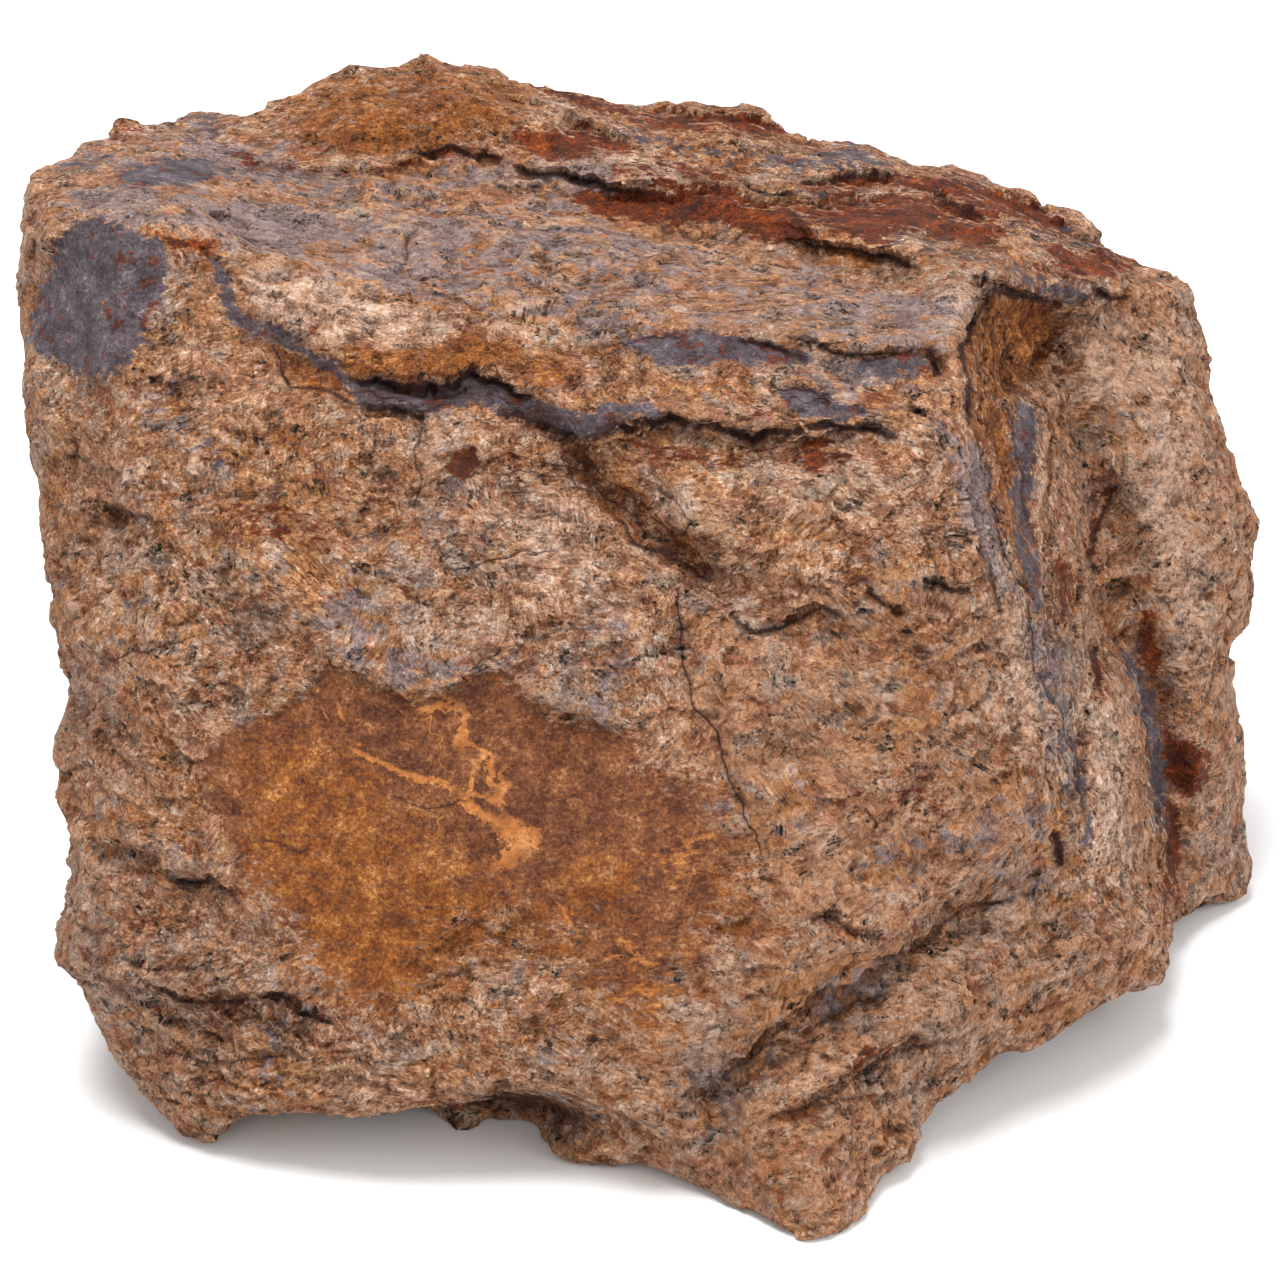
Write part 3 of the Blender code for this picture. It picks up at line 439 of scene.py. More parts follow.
def view_of(points):
    """Where points show in the measuring picture, as columns and rows."""
    offset = points - PICTURE_POINT
    scale = PICTURE_PER_MM / (1.0 + offset @ AWAY / EYE_DISTANCE)
    return np.stack([PICTURE_CENTRE + offset @ RIGHT * scale, PICTURE_CENTRE - offset @ UP * scale], axis=1)


def to_line(places, line):
    """Distance from a line, positive above it, and its share of the way along, for every place."""
    lengths = np.linalg.norm(np.diff(line, axis=0), axis=1)
    starts = np.concatenate([[0.0], np.cumsum(lengths)])
    best = np.full(len(places), 1e9)
    along = np.zeros(len(places))
    for a, b, length, start in zip(line, line[1:], lengths, starts):
        run = b - a
        from_a = places - a
        share = np.clip(from_a @ run / length**2, 0.0, 1.0)
        gap = from_a - share[:, None] * run
        distance = np.hypot(gap[:, 0], gap[:, 1])
        above = run[0] * gap[:, 1] - run[1] * gap[:, 0] < 0.0
        closer = distance < np.abs(best)
        best = np.where(closer, np.where(above, distance, -distance), best)
        along = np.where(closer, start + share * length, along)
    return best / PICTURE_PER_MM, along / starts[-1]


def into_outline(places, outline):
    """Distance inside an outline, negative outside it, for every place."""
    inside = np.zeros(len(places), bool)
    nearest = np.full(len(places), 1e9)
    for a, b in zip(outline, np.roll(outline, -1, axis=0)):
        run = b - a
        from_a = places - a
        share = np.clip(from_a @ run / (run @ run), 0.0, 1.0)
        gap = from_a - share[:, None] * run
        nearest = np.minimum(nearest, np.hypot(gap[:, 0], gap[:, 1]))
        if a[1] != b[1]:
            spans = (a[1] > places[:, 1]) != (b[1] > places[:, 1])
            crossing = a[0] + run[0] * from_a[:, 1] / run[1]
            inside ^= spans & (places[:, 0] < crossing)
    return np.where(inside, nearest, -nearest) / PICTURE_PER_MM


def close_by(places, shape, margin):
    """Which places lie in the box around a shape, grown by a margin in millimetres."""
    grown = margin * PICTURE_PER_MM
    low, high = shape.min(axis=0) - grown, shape.max(axis=0) + grown
    return np.flatnonzero(((places > low) & (places < high)).all(axis=1))


def noise_at(points, size, octaves=1, offset=0.0):
    """Smooth noise, about -1 to 1, with lumps of a given size."""
    scaled = points / size + offset
    if octaves == 1:
        return np.array([noise.noise(Vector(p)) for p in scaled])
    return np.array([noise.fractal(Vector(p), 1.0, 2.0, octaves) for p in scaled])


def wobbled(places):
    """The places moved a little to and fro, so that what is drawn there gets a ragged edge."""
    flat = np.column_stack([places, np.zeros(len(places))])
    coarse = np.array([noise.noise_vector(Vector(p))[:2] for p in flat / 26.0])
    fine = np.array([noise.noise_vector(Vector(p))[:2] for p in flat / 9.0 + 50.0])
    return places + coarse * 7.0 + fine * 3.5


def shards_at(points, size, slope, step):
    """A surface broken into flat chips of about one size, each tilted and set back its own way."""
    out = np.empty(len(points))
    size = np.array(size)
    middle = Vector(size)
    for i, p in enumerate(points / size):
        _, centres = noise.voronoi(Vector(p))
        centre = centres[0]
        lean = noise.noise_vector(centre * 7.3)
        offset = (Vector(p) - centre) * middle
        out[i] = offset.dot(lean) * slope + noise.noise(centre * 5.1) * step
    return out


def flakes_at(heights):
    """Thin flakes lying over each other: level for most of their width, with a sharp edge."""
    whole = np.floor(heights)
    part = heights - whole
    edge = np.clip((part - 0.72) / 0.28, 0.0, 1.0)
    return whole + edge * edge * (3.0 - 2.0 * edge) - heights


def layers_at(points, rise, layering):
    """Flakes along one bedding, whose layers rise to the right by so much per millimetre."""
    return flakes_at((points @ UP - rise * points @ RIGHT) / LAYER_THICKNESS + layering)


def arrays_of(mesh):
    points = np.empty(len(mesh.vertices) * 3)
    normals = np.empty(len(mesh.vertices) * 3)
    mesh.vertices.foreach_get("co", points)
    mesh.vertices.foreach_get("normal", normals)
    return points.reshape(-1, 3), normals.reshape(-1, 3)


def put_points(mesh, points):
    mesh.vertices.foreach_set("co", points.ravel())
    mesh.update()


def seen_share(points, normals):
    """1 where the surface faces the measuring eye, 0 where it faces away."""
    to_eye = EYE - points
    to_eye /= np.linalg.norm(to_eye, axis=1)[:, None]
    return np.clip(np.einsum("ij,ij->i", normals, to_eye) * 5.0, 0.0, 1.0)


def baked(stone, kind, **settings):
    """Applies one modifier to the stone."""
    modifier = stone.modifiers.new(kind.title(), kind)
    for key, value in settings.items():
        setattr(modifier, key, value)
    graph = bpy.context.evaluated_depsgraph_get()
    mesh = bpy.data.meshes.new_from_object(stone.evaluated_get(graph))
    stone.modifiers.clear()
    stone.data = mesh


def carve(mesh):
    """Ledges, cracks and pits of the near half, after its smooth crusts are levelled."""
    points, normals = arrays_of(mesh)
    calm = calm_share(points, normals)[:, None]
    put_points(mesh, points + (blurred(mesh, points, LEVELLING_ROUNDS) - points) * calm)
    points, normals = arrays_of(mesh)
    places = wobbled(view_of(points))
    moved = np.zeros(len(points))
    for step, reach, line in LEDGES:
        near = close_by(places, line, reach * 4)
        gap, along = to_line(places[near], line)
        taper = np.clip(np.minimum(along, 1.0 - along) / 0.15, 0.0, 1.0)
        side = np.where(gap > 0.0, 0.55, -0.45)
        moved[near] += step * taper * side * np.exp(-np.abs(gap) / reach)
    for depth, width, line in VALLEYS:
        near = close_by(places, line, width * 2.5)
        gap, along = to_line(places[near], line)
        taper = np.clip(np.minimum(along, 1.0 - along) / 0.2, 0.0, 1.0)
        moved[near] -= depth * taper * np.exp(-((gap / width) ** 2))
    for depth, width, _, line in CRACKS_AND_LEDGE_SHADOWS:
        wide = max(width, FINE_GRID)
        near = close_by(places, line, wide * 3)
        gap, along = to_line(places[near], line)
        taper = np.clip(np.minimum(along, 1.0 - along) / 0.12, 0.0, 1.0)
        moved[near] -= depth * taper * np.exp(-((gap / wide) ** 2))
    for depth, radius, place in PITS:
        near = close_by(places, place, radius * 3)
        gap = np.linalg.norm(places[near] - place, axis=1) / PICTURE_PER_MM
        moved[near] -= depth * np.exp(-((gap / radius) ** 4))
    moved *= seen_share(points, normals)
    put_points(mesh, points + normals * moved[:, None])


def cover_of(areas, places):
    """How fully some outlined areas cover each place, from their strength, edge width and outline."""
    cover = np.zeros(len(places))
    for strength, soft, outline in areas:
        near = close_by(places, outline, soft)
        inward = into_outline(places[near], outline)
        cover[near] = np.maximum(cover[near], strength * np.clip(0.5 + inward / (2.0 * soft), 0.0, 1.0))
    return cover


def calm_share(points, normals):
    """0 where the rock is jagged, up to 1 on its smooth crusts and films."""
    places = wobbled(view_of(points))
    seen = seen_share(points, normals)
    calm = np.zeros(len(points))
    for name, share in (("film", 0.85), ("coat", 0.6), ("rust", 0.3)):
        calm = np.maximum(calm, stain_cover(name, points, places, seen) * share)
    return calm


def stain_cover(name, points, places, seen):
    """How fully a stain covers each point: drawn on the near half, in scattered patches on the far half."""
    cover = cover_of([(strength, soft, outline) for soft, strength, outline in STAINS[name]], places)
    size, level, offset = FAR_STAINS[name]
    patches = noise_at(points * [0.7, 0.7, 1.8], size, 3, offset)
    return cover * seen + np.clip((patches - level) * 2.4, 0.0, 0.75) * (1.0 - seen)


# Scattered stains of the far half: patch size, how rare, and where its noise is read.
FAR_STAINS = {
    "coat": (17.0, 0.48, 11.0),
    "veil": (14.0, 0.2, 91.0),
    "rust": (15.0, 0.4, 23.0),
    "ochre": (13.0, 0.3, 37.0),
    "film": (22.0, 0.55, 41.0),
    "scratch": (5.0, 0.8, 53.0),
    "pale": (9.0, 0.3, 67.0),
    "dark": (8.0, 0.5, 79.0),
    "even": (30.0, 0.9, 83.0),
}


def roughen(mesh):
    """Shards, flakes, splinters and grains all over, less on the smooth crusts."""
    points, normals = arrays_of(mesh)
    jagged = 1.0 - calm_share(points, normals)
    seen = seen_share(points, normals)
    bent = np.stack([noise_at(points, 4.0, 2, k) for k in (3.0, 9.0, 15.0)], axis=1)
    warped = points + bent * 0.9
    layering = noise_at(warped * [0.7, 0.7, 1.5], 5.0, 3, 5.0) * 2.2
    flaky = 0.7 * (1.0 - seen)
    flakes = flaky * layers_at(warped, FAR_RISE, layering)
    for share, soft, rise, outline in FLAKY:
        cover = cover_of([(share, soft, outline)], view_of(points)) * seen
        flakes += cover * layers_at(warped, rise, layering)
        flaky = np.maximum(flaky, cover)
    uneven = 0.75 + 0.7 * noise_at(points, 9.0, 2, 71.0)
    strength = np.clip(uneven + flaky * 0.3, 0.25, 1.4) * jagged
    moved = shards_at(warped, (4.2, 3.4, 2.2), 0.22, 0.28) * strength
    moved += shards_at(warped + 31.0, (1.9, 1.6, 1.0), 0.2, 0.12) * strength
    moved += flakes * 0.42 * jagged
    moved += flakes_at(noise_at(warped * [0.8, 0.8, 1.4], 2.6, 2, 17.0) * 3.0) * 0.12 * strength
    splinters = 0.3 - np.abs(noise_at(warped * [0.5, 0.5, 1.5], 1.3, 2, 5.0))
    moved -= 0.09 * splinters * strength
    moved += noise_at(points, 0.8, 2, 8.0) * 0.035 * (0.4 + 0.6 * jagged)
    put_points(mesh, points + normals * moved[:, None])


def keep_in_box(mesh):
    """Keeps the worked stone inside the CAD solid's box."""
    low, high = (np.array(corner) / MM for corner in cad_box)
    points, _ = arrays_of(mesh)
    put_points(mesh, np.clip(points, low, high))


def blurred(mesh, values, rounds):
    """Values averaged with those of the neighbouring vertices, over and over."""
    edges = np.empty(len(mesh.edges) * 2, np.int64)
    mesh.edges.foreach_get("vertices", edges)
    a, b = edges.reshape(-1, 2).T
    size = len(values)
    count = np.bincount(a, minlength=size) + np.bincount(b, minlength=size)
    for _ in range(rounds):
        total = [np.bincount(a, v[b], size) + np.bincount(b, v[a], size) for v in values.T]
        values = np.stack(total, axis=1) / count[:, None]
    return values


def nearest_line(places, lines):
    """Distance to the nearest line in half widths, signed by side, and how strong it is there."""
    best = np.full(len(places), 9.0)
    dark = np.zeros(len(places))
    for width, darkness, line in lines:
        near = close_by(places, line, 1.5)
        gap, along = to_line(places[near], line)
        taper = np.clip(np.minimum(along, 1.0 - along) / 0.06, 0.0, 1.0)
        gap = gap / width
        closer = np.abs(gap) < np.abs(best[near])
        best[near] = np.where(closer, gap, best[near])
        dark[near] = np.where(closer, darkness * taper, dark[near])
    return best, dark


def surface_of(mesh):
    """The surface as it is now, to look up its nearest points later. All its faces have four corners."""
    points, _ = arrays_of(mesh)
    corners = np.empty(len(mesh.loops), np.int64)
    mesh.loops.foreach_get("vertex_index", corners)
    return BVHTree.FromPolygons(points.tolist(), corners.reshape(-1, 4).tolist())


def add_marks(mesh, even_surface):
    """Writes what the material reads: stains and patches of painted shade, cracks and painted ledge shadows, hollows
    and the place on the surface before roughening.
    """
    points, normals = arrays_of(mesh)
    places = wobbled(view_of(points))
    seen = seen_share(points, normals)
    marks = {name: stain_cover(name, points, places, seen) for name in STAINS}
    # Crack lines, many of them painted shadow under ledges.
    marks["crack_and_shadow_gap"], darkness = nearest_line(places, [crack_and_ledge_shadow[1:] for crack_and_ledge_shadow in CRACKS_AND_LEDGE_SHADOWS])
    marks["crack_and_shadow_share"] = darkness * seen
    marks["scratch_gap"], strength = nearest_line(view_of(points), SCRATCHES)
    marks["scratch_share"] = strength * seen
    marks["fine_hollow"] = np.einsum("ij,ij->i", blurred(mesh, points, 3) - points, normals)
    marks["broad_hollow"] = np.einsum("ij,ij->i", blurred(mesh, points, 24) - points, normals)
    for name, values in marks.items():
        attribute = mesh.attributes.new(name, "FLOAT", "POINT")
        attribute.data.foreach_set("value", values.astype(np.float32))
    attribute = mesh.attributes.new("even_place", "FLOAT_VECTOR", "POINT")
    even = np.array([even_surface.find_nearest(p)[0] for p in points], np.float32)
    attribute.data.foreach_set("vector", even.ravel())


def thin_out(stone, near_side, count):
    """Collapses triangles on one side of the stone only, until the whole has a number of them."""
    points, normals = arrays_of(stone.data)
    chosen = (seen_share(points, normals) > 0.0) == near_side
    group = stone.vertex_groups.new(name="thinned")
    group.add(np.flatnonzero(chosen).tolist(), 1.0, "REPLACE")
    present = sum(len(face.vertices) - 2 for face in stone.data.polygons)
    if count < present:
        baked(stone, "DECIMATE", ratio=count / present, vertex_group="thinned", use_collapse_triangulate=True)
    stone.vertex_groups.clear()


def near_count(mesh):
    """How many triangles the near side has."""
    points, normals = arrays_of(mesh)
    seen = seen_share(points, normals) > 0.0
    return sum(len(face.vertices) - 2 for face in mesh.polygons if seen[face.vertices[0]])


def make_stone():
    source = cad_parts["bronzite"]
    mesh = source.data.copy()
    mesh.materials.clear()
    mesh.transform(Matrix.Scale(1.0 / MM, 4))
    stone = bpy.data.objects.new("bronzite_rock", mesh)
    bpy.context.scene.collection.objects.link(stone)
    baked(stone, "REMESH", mode="VOXEL", voxel_size=FINE_GRID * 1.0)
    baked(stone, "SMOOTH", factor=0.5, iterations=SMOOTHING_ROUNDS)
    carve(stone.data)
    even_surface = surface_of(stone.data)
    roughen(stone.data)
    keep_in_box(stone.data)
    print("worked vertices:", len(stone.data.vertices), "near:", near_count(stone.data))
    thin_out(stone, False, near_count(stone.data) + FAR_TRIANGLES)
    thin_out(stone, True, NEAR_TRIANGLES + FAR_TRIANGLES)
    keep_in_box(stone.data)
    add_marks(stone.data, even_surface)
    stone.data.transform(Matrix.Scale(MM, 4))
    stone.data.name = stone.name
    stone.data.shade_smooth()
    stone.data.set_sharp_from_angle(angle=SHARP_ANGLE)
    print("stone:", len(stone.data.polygons), "faces")
    return stone


class Nodes:
    """Short ways to build a material's node tree."""

    def __init__(self, tree):
        self.tree = tree

    def add(self, kind, settings=None, **inputs):
        node = self.tree.nodes.new(kind)
        for key, value in (settings or {}).items():
            setattr(node, key, value)
        for key, value in inputs.items():
            self.feed(node.inputs[key.replace("_", " ")], value)
        return node

    def feed(self, socket, value):
        if isinstance(value, bpy.types.NodeSocket):
            self.tree.links.new(value, socket)
        elif value is not None:
            socket.default_value = value

    def math(self, operation, a, b=None, c=None, clamp=False):
        node = self.add("ShaderNodeMath", {"operation": operation, "use_clamp": clamp})
        for socket, value in zip(node.inputs, (a, b, c)):
            self.feed(socket, value)
        return node.outputs[0]

    def vector(self, operation, a, b=None, scale=None):
        node = self.add("ShaderNodeVectorMath", {"operation": operation})
        self.feed(node.inputs[0], a)
        self.feed(node.inputs[1], b)
        if scale is not None:
            self.feed(node.inputs["Scale"], scale)
        return node.outputs[0]

    def dot(self, a, b):
        node = self.add("ShaderNodeVectorMath", {"operation": "DOT_PRODUCT"})
        self.feed(node.inputs[0], a)
        self.feed(node.inputs[1], b)
        return node.outputs["Value"]

    def mix(self, share, a, b, blend="MIX"):
        node = self.add("ShaderNodeMix", {"data_type": "RGBA", "blend_type": blend})
        for name, value in (("Factor_Float", share), ("A_Color", a), ("B_Color", b)):
            socket = next(s for s in node.inputs if s.identifier == name)
            self.feed(socket, value)
        return next(s for s in node.outputs if s.identifier == "Result_Color")

    def noise(self, vector, scale, detail, rough):
        return self.add("ShaderNodeTexNoise", Vector=vector, Scale=scale, Detail=detail, Roughness=rough)

    def voronoi(self, vector, scale):
        return self.add("ShaderNodeTexVoronoi", Vector=vector, Scale=scale)

    def stretch(self, value, low, high, to_low=0.0, to_high=1.0, smooth=False):
        kind = {"interpolation_type": "SMOOTHSTEP" if smooth else "LINEAR", "clamp": True}
        node = self.add("ShaderNodeMapRange", kind)
        for socket, number in zip(node.inputs, (value, low, high, to_low, to_high)):
            self.feed(socket, number)
        return node.outputs[0]

    def ramp(self, share, stops):
        node = self.add("ShaderNodeValToRGB", Fac=share)
        elements = node.color_ramp.elements
        while len(elements) < len(stops):
            elements.new(0.5)
        for element, (place, color) in zip(elements, stops):
            element.position = place
            element.color = color
        return node.outputs[0]

    def mark(self, name):
        return self.add("ShaderNodeAttribute", {"attribute_name": name}).outputs["Fac"]

    def parts(self, color):
        return self.add("ShaderNodeSeparateColor", Color=color).outputs


def srgb(red, green, blue):
    """A colour given as it looks on a screen, 0 to 255, as linear light."""
    linear = []
    for value in (red, green, blue):
        value /= 255.0
        linear.append(value / 12.92 if value <= 0.04045 else ((value + 0.055) / 1.055) ** 2.4)
    return (*linear, 1.0)


CRYSTAL_TONES = [
    (0.0, srgb(48, 20, 10)), (0.2, srgb(96, 52, 30)), (0.42, srgb(144, 94, 63)), (0.6, srgb(172, 125, 92)),
    (0.78, srgb(200, 165, 139)), (1.0, srgb(236, 219, 205)),
]
GOLDEN_TONES = [
    (0.0, srgb(60, 26, 8)), (0.25, srgb(108, 58, 24)), (0.5, srgb(154, 98, 52)), (0.75, srgb(186, 134, 86)),
    (1.0, srgb(228, 196, 158)),
]
PALE_TONES = [
    (0.0, srgb(96, 62, 44)), (0.3, srgb(158, 120, 96)), (0.6, srgb(196, 162, 138)), (1.0, srgb(238, 222, 208)),
]
ASH_TONES = [
    (0.0, srgb(62, 46, 40)), (0.4, srgb(122, 102, 92)), (0.7, srgb(162, 144, 132)), (1.0, srgb(212, 198, 188)),
]
VEIL_TONES = [
    (0.0, srgb(58, 42, 44)), (0.4, srgb(112, 96, 98)), (0.7, srgb(146, 130, 128)), (1.0, srgb(190, 174, 164)),
]
COAT_TONES = [
    (0.0, srgb(40, 28, 30)), (0.4, srgb(76, 66, 71)), (0.7, srgb(104, 93, 97)), (1.0, srgb(164, 150, 148)),
]
RUST_TONES = [
    (0.0, srgb(34, 12, 6)), (0.3, srgb(68, 25, 5)), (0.55, srgb(106, 43, 4)), (0.8, srgb(148, 68, 8)),
    (1.0, srgb(198, 120, 48)),
]
OCHRE_TONES = [
    (0.0, srgb(66, 28, 6)), (0.35, srgb(112, 57, 12)), (0.65, srgb(154, 89, 26)), (1.0, srgb(208, 154, 90)),
]
FILM_TONES = [
    (0.0, srgb(58, 26, 12)), (0.3, srgb(96, 52, 28)), (0.6, srgb(134, 82, 46)), (1.0, srgb(190, 142, 104)),
]
SCRATCH_TONES = [(0.0, srgb(152, 88, 40)), (0.5, srgb(188, 118, 60)), (1.0, srgb(216, 166, 110))]
# Painted shade: the colour of hairline cracks, of the darkening in hollows (partly dirt, partly painted shade) and of
# the painted shade patches.
CREVICE_AND_SHADE = srgb(58, 28, 14)
# Painted shadow: the colour of the drawn crack lines, which also paint the shade under ledges.
CRACK_AND_LEDGE_SHADOW = srgb(46, 20, 18)
BLUE_GREY = srgb(66, 53, 54)


def rock_material():
    material = bpy.data.materials.new("bronzite_rock")
    material.use_nodes = True
    n = Nodes(material.node_tree)
    shader = material.node_tree.nodes["Principled BSDF"]
    place = n.vector("SCALE", n.add("ShaderNodeTexCoord").outputs["Object"], scale=1.0 / MM)
    even = n.add("ShaderNodeAttribute", {"attribute_name": "even_place"}).outputs["Vector"]

    # Bundles of fibres: each has its own direction through the stone, and fans out a little.
    ragged = n.noise(even, 0.55, 3.0, 0.65).outputs["Color"]
    ragged = n.vector("SUBTRACT", ragged, (0.5, 0.5, 0.5))
    bundle = n.voronoi(n.vector("ADD", even, n.vector("SCALE", ragged, scale=9.0)), 0.26)
    own = bundle.outputs["Color"]
    own_parts = n.parts(own)
    local = n.vector("SUBTRACT", even, bundle.outputs["Position"])
    run = n.vector("MULTIPLY", n.vector("SUBTRACT", own, (0.5, 0.5, 0.5)), (1.0, 0.4, 0.8))
    run = n.vector("NORMALIZE", run)
    along = n.dot(local, run)
    across = n.vector("SUBTRACT", local, n.vector("SCALE", run, scale=along))
    spread = n.math("MAXIMUM", n.math("ADD", n.math("MULTIPLY", along, 0.08), 1.0), 0.4)
    across = n.vector("SCALE", across, scale=n.math("DIVIDE", 1.0, spread))
    shift = n.vector("SCALE", own, scale=41.0)

    # Straight splinters and cleavage faces: blocks of one length and width, each row shifted along.
    jagged = n.vector("ADD", shift, n.vector("SCALE", ragged, scale=1.2))

    def splinters(length, width):
        row = n.vector("FLOOR", n.vector("ADD", n.vector("SCALE", across, scale=1.0 / width), jagged))
        start = n.add("ShaderNodeTexWhiteNoise", Vector=row).outputs["Value"]
        place_along = n.math("ADD", n.math("DIVIDE", along, length), n.math("MULTIPLY", start, 9.0))
        return n.add("ShaderNodeTexWhiteNoise", {"noise_dimensions": "4D"}, Vector=row,
                     W=n.math("FLOOR", place_along)).outputs["Color"]

    splinter = splinters(1.3, 0.15)
    splinter_parts = n.parts(splinter)
    fleck = splinters(0.7, 0.42)
    fleck_parts = n.parts(fleck)
    chip_place = n.vector("ADD", n.vector("MULTIPLY", even, (0.75, 1.0, 1.3)), n.vector("SCALE", ragged, scale=3.0))
    chip = n.voronoi(chip_place, 0.85)
    chip_parts = n.parts(chip.outputs["Color"])
    grain = n.noise(place, 3.8, 3.0, 0.76).outputs["Fac"]
    mottle = n.parts(n.noise(even, 0.5, 4.0, 0.7).outputs["Color"])
    drift = n.parts(n.noise(even, 0.12, 3.0, 0.6).outputs["Color"])

    # How light each spot of bare rock is: fibres, flecks, grains and chips.
    tone = n.math("ADD", n.stretch(splinter_parts[0], 0.0, 1.0, 0.0, 0.32), n.stretch(fleck_parts[0], 0.0, 1.0, 0.0, 0.18))
    tone = n.math("ADD", tone, n.stretch(grain, 0.22, 0.78, -0.05, 0.53))
    tone = n.math("ADD", tone, n.stretch(chip_parts[0], 0.0, 1.0, -0.08, 0.12))
    tone = n.math("ADD", tone, n.stretch(mottle[0], 0.3, 0.7, -0.14, 0.13))
    calmer = n.math("MULTIPLY", n.math("SUBTRACT", 0.55, tone), n.stretch(n.mark("even"), 0.0, 1.0, 0.0, 0.5))
    tone = n.math("ADD", tone, calmer)
    crystal = n.ramp(tone, CRYSTAL_TONES)
    golden = n.math("ADD", n.math("MULTIPLY", mottle[1], 0.5), n.math("MULTIPLY", drift[0], 0.5))
    golden = n.math("ADD", golden, n.stretch(own_parts[1], 0.0, 1.0, -0.07, 0.07))
    crystal = n.mix(n.stretch(golden, 0.51, 0.545, 0.0, 0.75), crystal, n.ramp(tone, GOLDEN_TONES))
    pale = n.math("ADD", n.math("MULTIPLY", mottle[2], 0.6), n.math("MULTIPLY", drift[1], 0.4))
    pale = n.math("ADD", pale, n.stretch(chip_parts[1], 0.0, 1.0, -0.07, 0.07))
    crystal = n.mix(n.stretch(pale, 0.54, 0.565, 0.0, 0.6), crystal, n.ramp(tone, PALE_TONES))
    grey = n.math("ADD", n.math("MULTIPLY", mottle[0], 0.5), n.math("MULTIPLY", drift[2], 0.5))
    crystal = n.mix(n.stretch(grey, 0.54, 0.57, 0.0, 0.55), crystal, n.ramp(tone, ASH_TONES))
    burnt = n.math("ADD", n.math("MULTIPLY", mottle[1], 0.7), n.stretch(chip_parts[2], 0.0, 1.0, 0.0, 0.3))
    crystal = n.mix(n.stretch(burnt, 0.61, 0.63, 0.0, 0.6), crystal, n.ramp(tone, RUST_TONES))

    # Stains and crusts, whose edges break up along the bedding.
    bedded = n.vector("MULTIPLY", place, (0.6, 1.2, 1.3))
    ravel = n.noise(bedded, 1.1, 4.0, 0.7).outputs["Fac"]
    breakup = n.math("MULTIPLY", n.math("SUBTRACT", ravel, 0.5), 2.0)
    soft_tone = n.math("ADD", n.stretch(grain, 0.28, 0.72, 0.04, 0.64), n.stretch(fleck_parts[0], 0.0, 1.0, -0.06, 0.16))
    soft_tone = n.math("ADD", soft_tone, n.stretch(mottle[0], 0.3, 0.7, -0.26, 0.3))
    # Small dark specks and cavities, longest along the bedding, and the gaps where chips meet.
    speck = n.stretch(ravel, 0.38, 0.35, 0.0, 0.5)
    speck = n.math("MAXIMUM", speck, n.stretch(chip.outputs["Distance"], 0.68, 0.8, 0.0, 0.35))

    def cover_of(name, hardness, extra=0.0):
        share = n.math("SUBTRACT", n.math("ADD", n.mark(name), breakup), n.math("SUBTRACT", 0.5, extra))
        return n.math("ADD", n.math("MULTIPLY", share, hardness), 0.5, clamp=True)

    film = cover_of("film", 4.0)
    rust = cover_of("rust", 5.0)
    coat = cover_of("coat", 5.0)
    bare = n.math("SUBTRACT", 1.0, n.math("MAXIMUM", film, n.math("MAXIMUM", rust, coat)))
    color = n.mix(cover_of("pale", 2.0), crystal, n.ramp(tone, PALE_TONES))
    patchy = n.math("ADD", n.stretch(mottle[2], 0.3, 0.7, -0.55, 0.5), n.stretch(drift[0], 0.35, 0.65, -0.35, 0.3))
    color = n.mix(n.math("MULTIPLY", cover_of("veil", 3.0, patchy), 0.85), color, n.ramp(tone, VEIL_TONES))
    color = n.mix(speck, color, BLUE_GREY)
    fine = n.mark("fine_hollow")
    color = n.mix(n.math("MULTIPLY", n.stretch(fine, -0.01, -0.08, 0.0, 0.12), bare), color, srgb(206, 170, 140))
    color = n.mix(film, color, n.ramp(soft_tone, FILM_TONES))
    color = n.mix(n.math("MULTIPLY", cover_of("ochre", 2.0), 0.92), color,
                  n.ramp(n.mix(film, n.math("SUBTRACT", tone, 0.07), n.math("ADD", soft_tone, 0.08)), OCHRE_TONES))
    frayed = n.math("ADD", n.stretch(grain, 0.3, 0.7, -0.4, 0.4), n.stretch(fleck_parts[2], 0.0, 1.0, -0.5, 0.5))
    gap = n.math("ABSOLUTE", n.math("ADD", n.mark("scratch_gap"), frayed))
    scratch = n.math("MULTIPLY", n.stretch(gap, 1.1, 0.8), n.mark("scratch_share"))
    scratch = n.math("MAXIMUM", scratch, cover_of("scratch", 4.0))
    color = n.mix(scratch, color, n.ramp(soft_tone, SCRATCH_TONES))
    color = n.mix(rust, color, n.ramp(soft_tone, RUST_TONES))
    coat_color = n.mix(n.stretch(burnt, 0.6, 0.64, 0.0, 0.8), n.ramp(soft_tone, COAT_TONES), n.ramp(soft_tone, RUST_TONES))
    color = n.mix(coat, color, coat_color)

    # Hairline cracks; drawn cracks, many of them painted shadow under ledges; darkening in the hollows, partly dirt and
    # partly painted shade; and patches of painted shade.
    hair = n.math("ABSOLUTE", n.math("SUBTRACT", mottle[1], 0.5))
    hair = n.math("MULTIPLY", n.stretch(hair, 0.012, 0.004), n.stretch(mottle[2], 0.5, 0.56, 0.0, 0.65))
    # Painted shadow: the drawn crack lines, many of them the shade just under a ledge.
    gap = n.math("ABSOLUTE", n.math("ADD", n.mark("crack_and_shadow_gap"), n.stretch(grain, 0.3, 0.7, -0.35, 0.35)))
    crack_and_ledge_shadow = n.math("MULTIPLY", n.stretch(gap, 1.1, 0.5), n.mark("crack_and_shadow_share"))
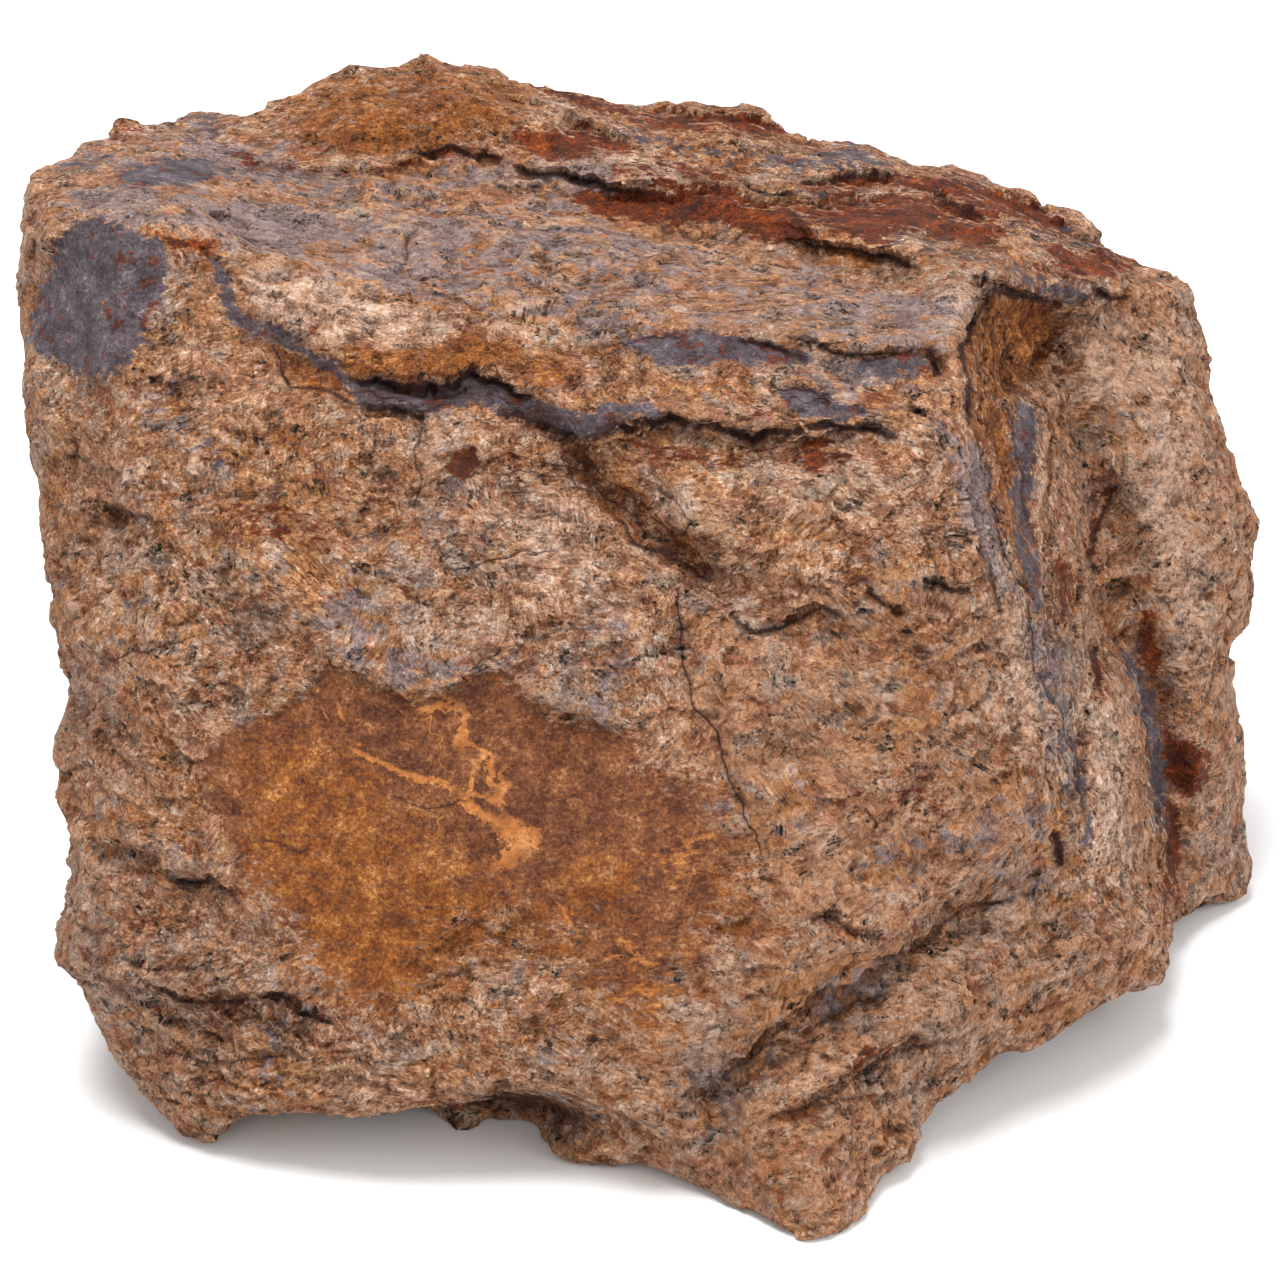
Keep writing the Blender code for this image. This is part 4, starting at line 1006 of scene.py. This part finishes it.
    # Painted shade, partly dirt: darker in fine and broad hollows, less on the crusts.
    hollow_dirt_and_shade = n.math("ADD", n.stretch(fine, 0.02, 0.12, 0.0, 0.4), n.stretch(n.mark("broad_hollow"), 0.1, 0.8, 0.0, 0.2))
    hollow_dirt_and_shade = n.math("MULTIPLY", hollow_dirt_and_shade, n.stretch(bare, 0.0, 1.0, 0.35, 1.0))
    # Painted shade: the drawn "dark" patches, mostly shadow under overhangs and ledges, in pits and along the foot.
    dark = n.math("MAXIMUM", n.math("MAXIMUM", hair, hollow_dirt_and_shade), cover_of("dark", 2.0))
    color = n.mix(n.math("MULTIPLY", dark, 0.85), color, CREVICE_AND_SHADE)
    color = n.mix(n.math("MULTIPLY", crack_and_ledge_shadow, 0.92), color, CRACK_AND_LEDGE_SHADOW)

    rough = n.mix(bare, (0.62, 0.62, 0.62, 1.0), n.stretch(fleck_parts[1], 0.0, 0.3, 0.35, 0.75))
    bump = n.add("ShaderNodeBump", Height=grain)
    n.feed(bump.inputs["Strength"], n.stretch(bare, 0.0, 1.0, 0.75, 1.0))
    bump.inputs["Distance"].default_value = 0.45 * MM
    # Each fleck is a little cleavage face that catches the light its own way.
    tilt = n.vector("SCALE", n.vector("SUBTRACT", fleck, (0.5, 0.5, 0.5)), scale=0.7)
    lean = n.vector("SCALE", n.vector("SUBTRACT", splinter, (0.5, 0.5, 0.5)), scale=0.6)
    tilt = n.vector("ADD", tilt, lean)
    lean = n.vector("SCALE", n.vector("SUBTRACT", chip.outputs["Color"], (0.5, 0.5, 0.5)), scale=0.8)
    tilt = n.vector("SCALE", n.vector("ADD", tilt, lean), scale=n.stretch(bare, 0.0, 1.0, 0.25, 1.0))
    n.feed(shader.inputs["Normal"], n.vector("NORMALIZE", n.vector("ADD", bump.outputs[0], tilt)))
    n.feed(shader.inputs["Base Color"], color)
    n.feed(shader.inputs["Roughness"], rough)
    shader.inputs["Specular IOR Level"].default_value = 0.22
    return material


def add_floor():
    mesh = bpy.data.meshes.new("floor")
    half = 4.0
    mesh.from_pydata([(-half, -half, 0), (half, -half, 0), (half, half, 0), (-half, half, 0)], [], [(0, 1, 2, 3)])
    floor = bpy.data.objects.new("floor", mesh)
    bpy.context.scene.collection.objects.link(floor)
    material = bpy.data.materials.new("floor")
    material.use_nodes = True
    shader = material.node_tree.nodes["Principled BSDF"]
    shader.inputs["Base Color"].default_value = (0.9, 0.9, 0.9, 1.0)
    shader.inputs["Roughness"].default_value = 0.9
    shader.inputs["Specular IOR Level"].default_value = 0.0
    mesh.materials.append(material)


def add_light(name, place, size, power, aim=(0.0, 0.0, 0.03)):
    light = bpy.data.lights.new(name, "AREA")
    light.shape = "DISK"
    light.size = size
    light.energy = power
    lamp = bpy.data.objects.new(name, light)
    lamp.location = place
    lamp.rotation_mode = "QUATERNION"
    lamp.rotation_quaternion = (Vector(aim) - Vector(place)).to_track_quat("-Z", "Y")
    bpy.context.scene.collection.objects.link(lamp)


def add_lights():
    world = bpy.data.worlds.new("studio")
    world.use_nodes = True
    background = world.node_tree.nodes["Background"]
    background.inputs["Color"].default_value = (1.0, 1.0, 1.0, 1.0)
    background.inputs["Strength"].default_value = 0.7
    bpy.context.scene.world = world
    add_light("overhead", (-0.1, 0.02, 0.6), 0.36, 4.4)
    add_light("front_fill", (-0.1, -0.6, 0.35), 0.4, 0.5)
    add_light("right_fill", (0.5, -0.3, 0.35), 0.4, 1.6)


def add_camera():
    data = bpy.data.cameras.new("camera")
    data.sensor_width = 36.0
    data.lens = data.sensor_width * EYE_DISTANCE / (PICTURE_SIZE / PICTURE_PER_MM)
    data.clip_start = 0.01
    data.clip_end = 20.0
    camera = bpy.data.objects.new("camera", data)
    camera.location = Vector(EYE * MM)
    camera.rotation_mode = "QUATERNION"
    camera.rotation_quaternion = Vector(AWAY).to_track_quat("-Z", "Y")
    bpy.context.scene.collection.objects.link(camera)
    bpy.context.scene.camera = camera


stone = make_stone()
stone.data.materials.append(rock_material())
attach(stone, "root")
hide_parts("bronzite")
add_floor()
add_lights()
add_camera()
bpy.context.scene.view_settings.view_transform = "Standard"
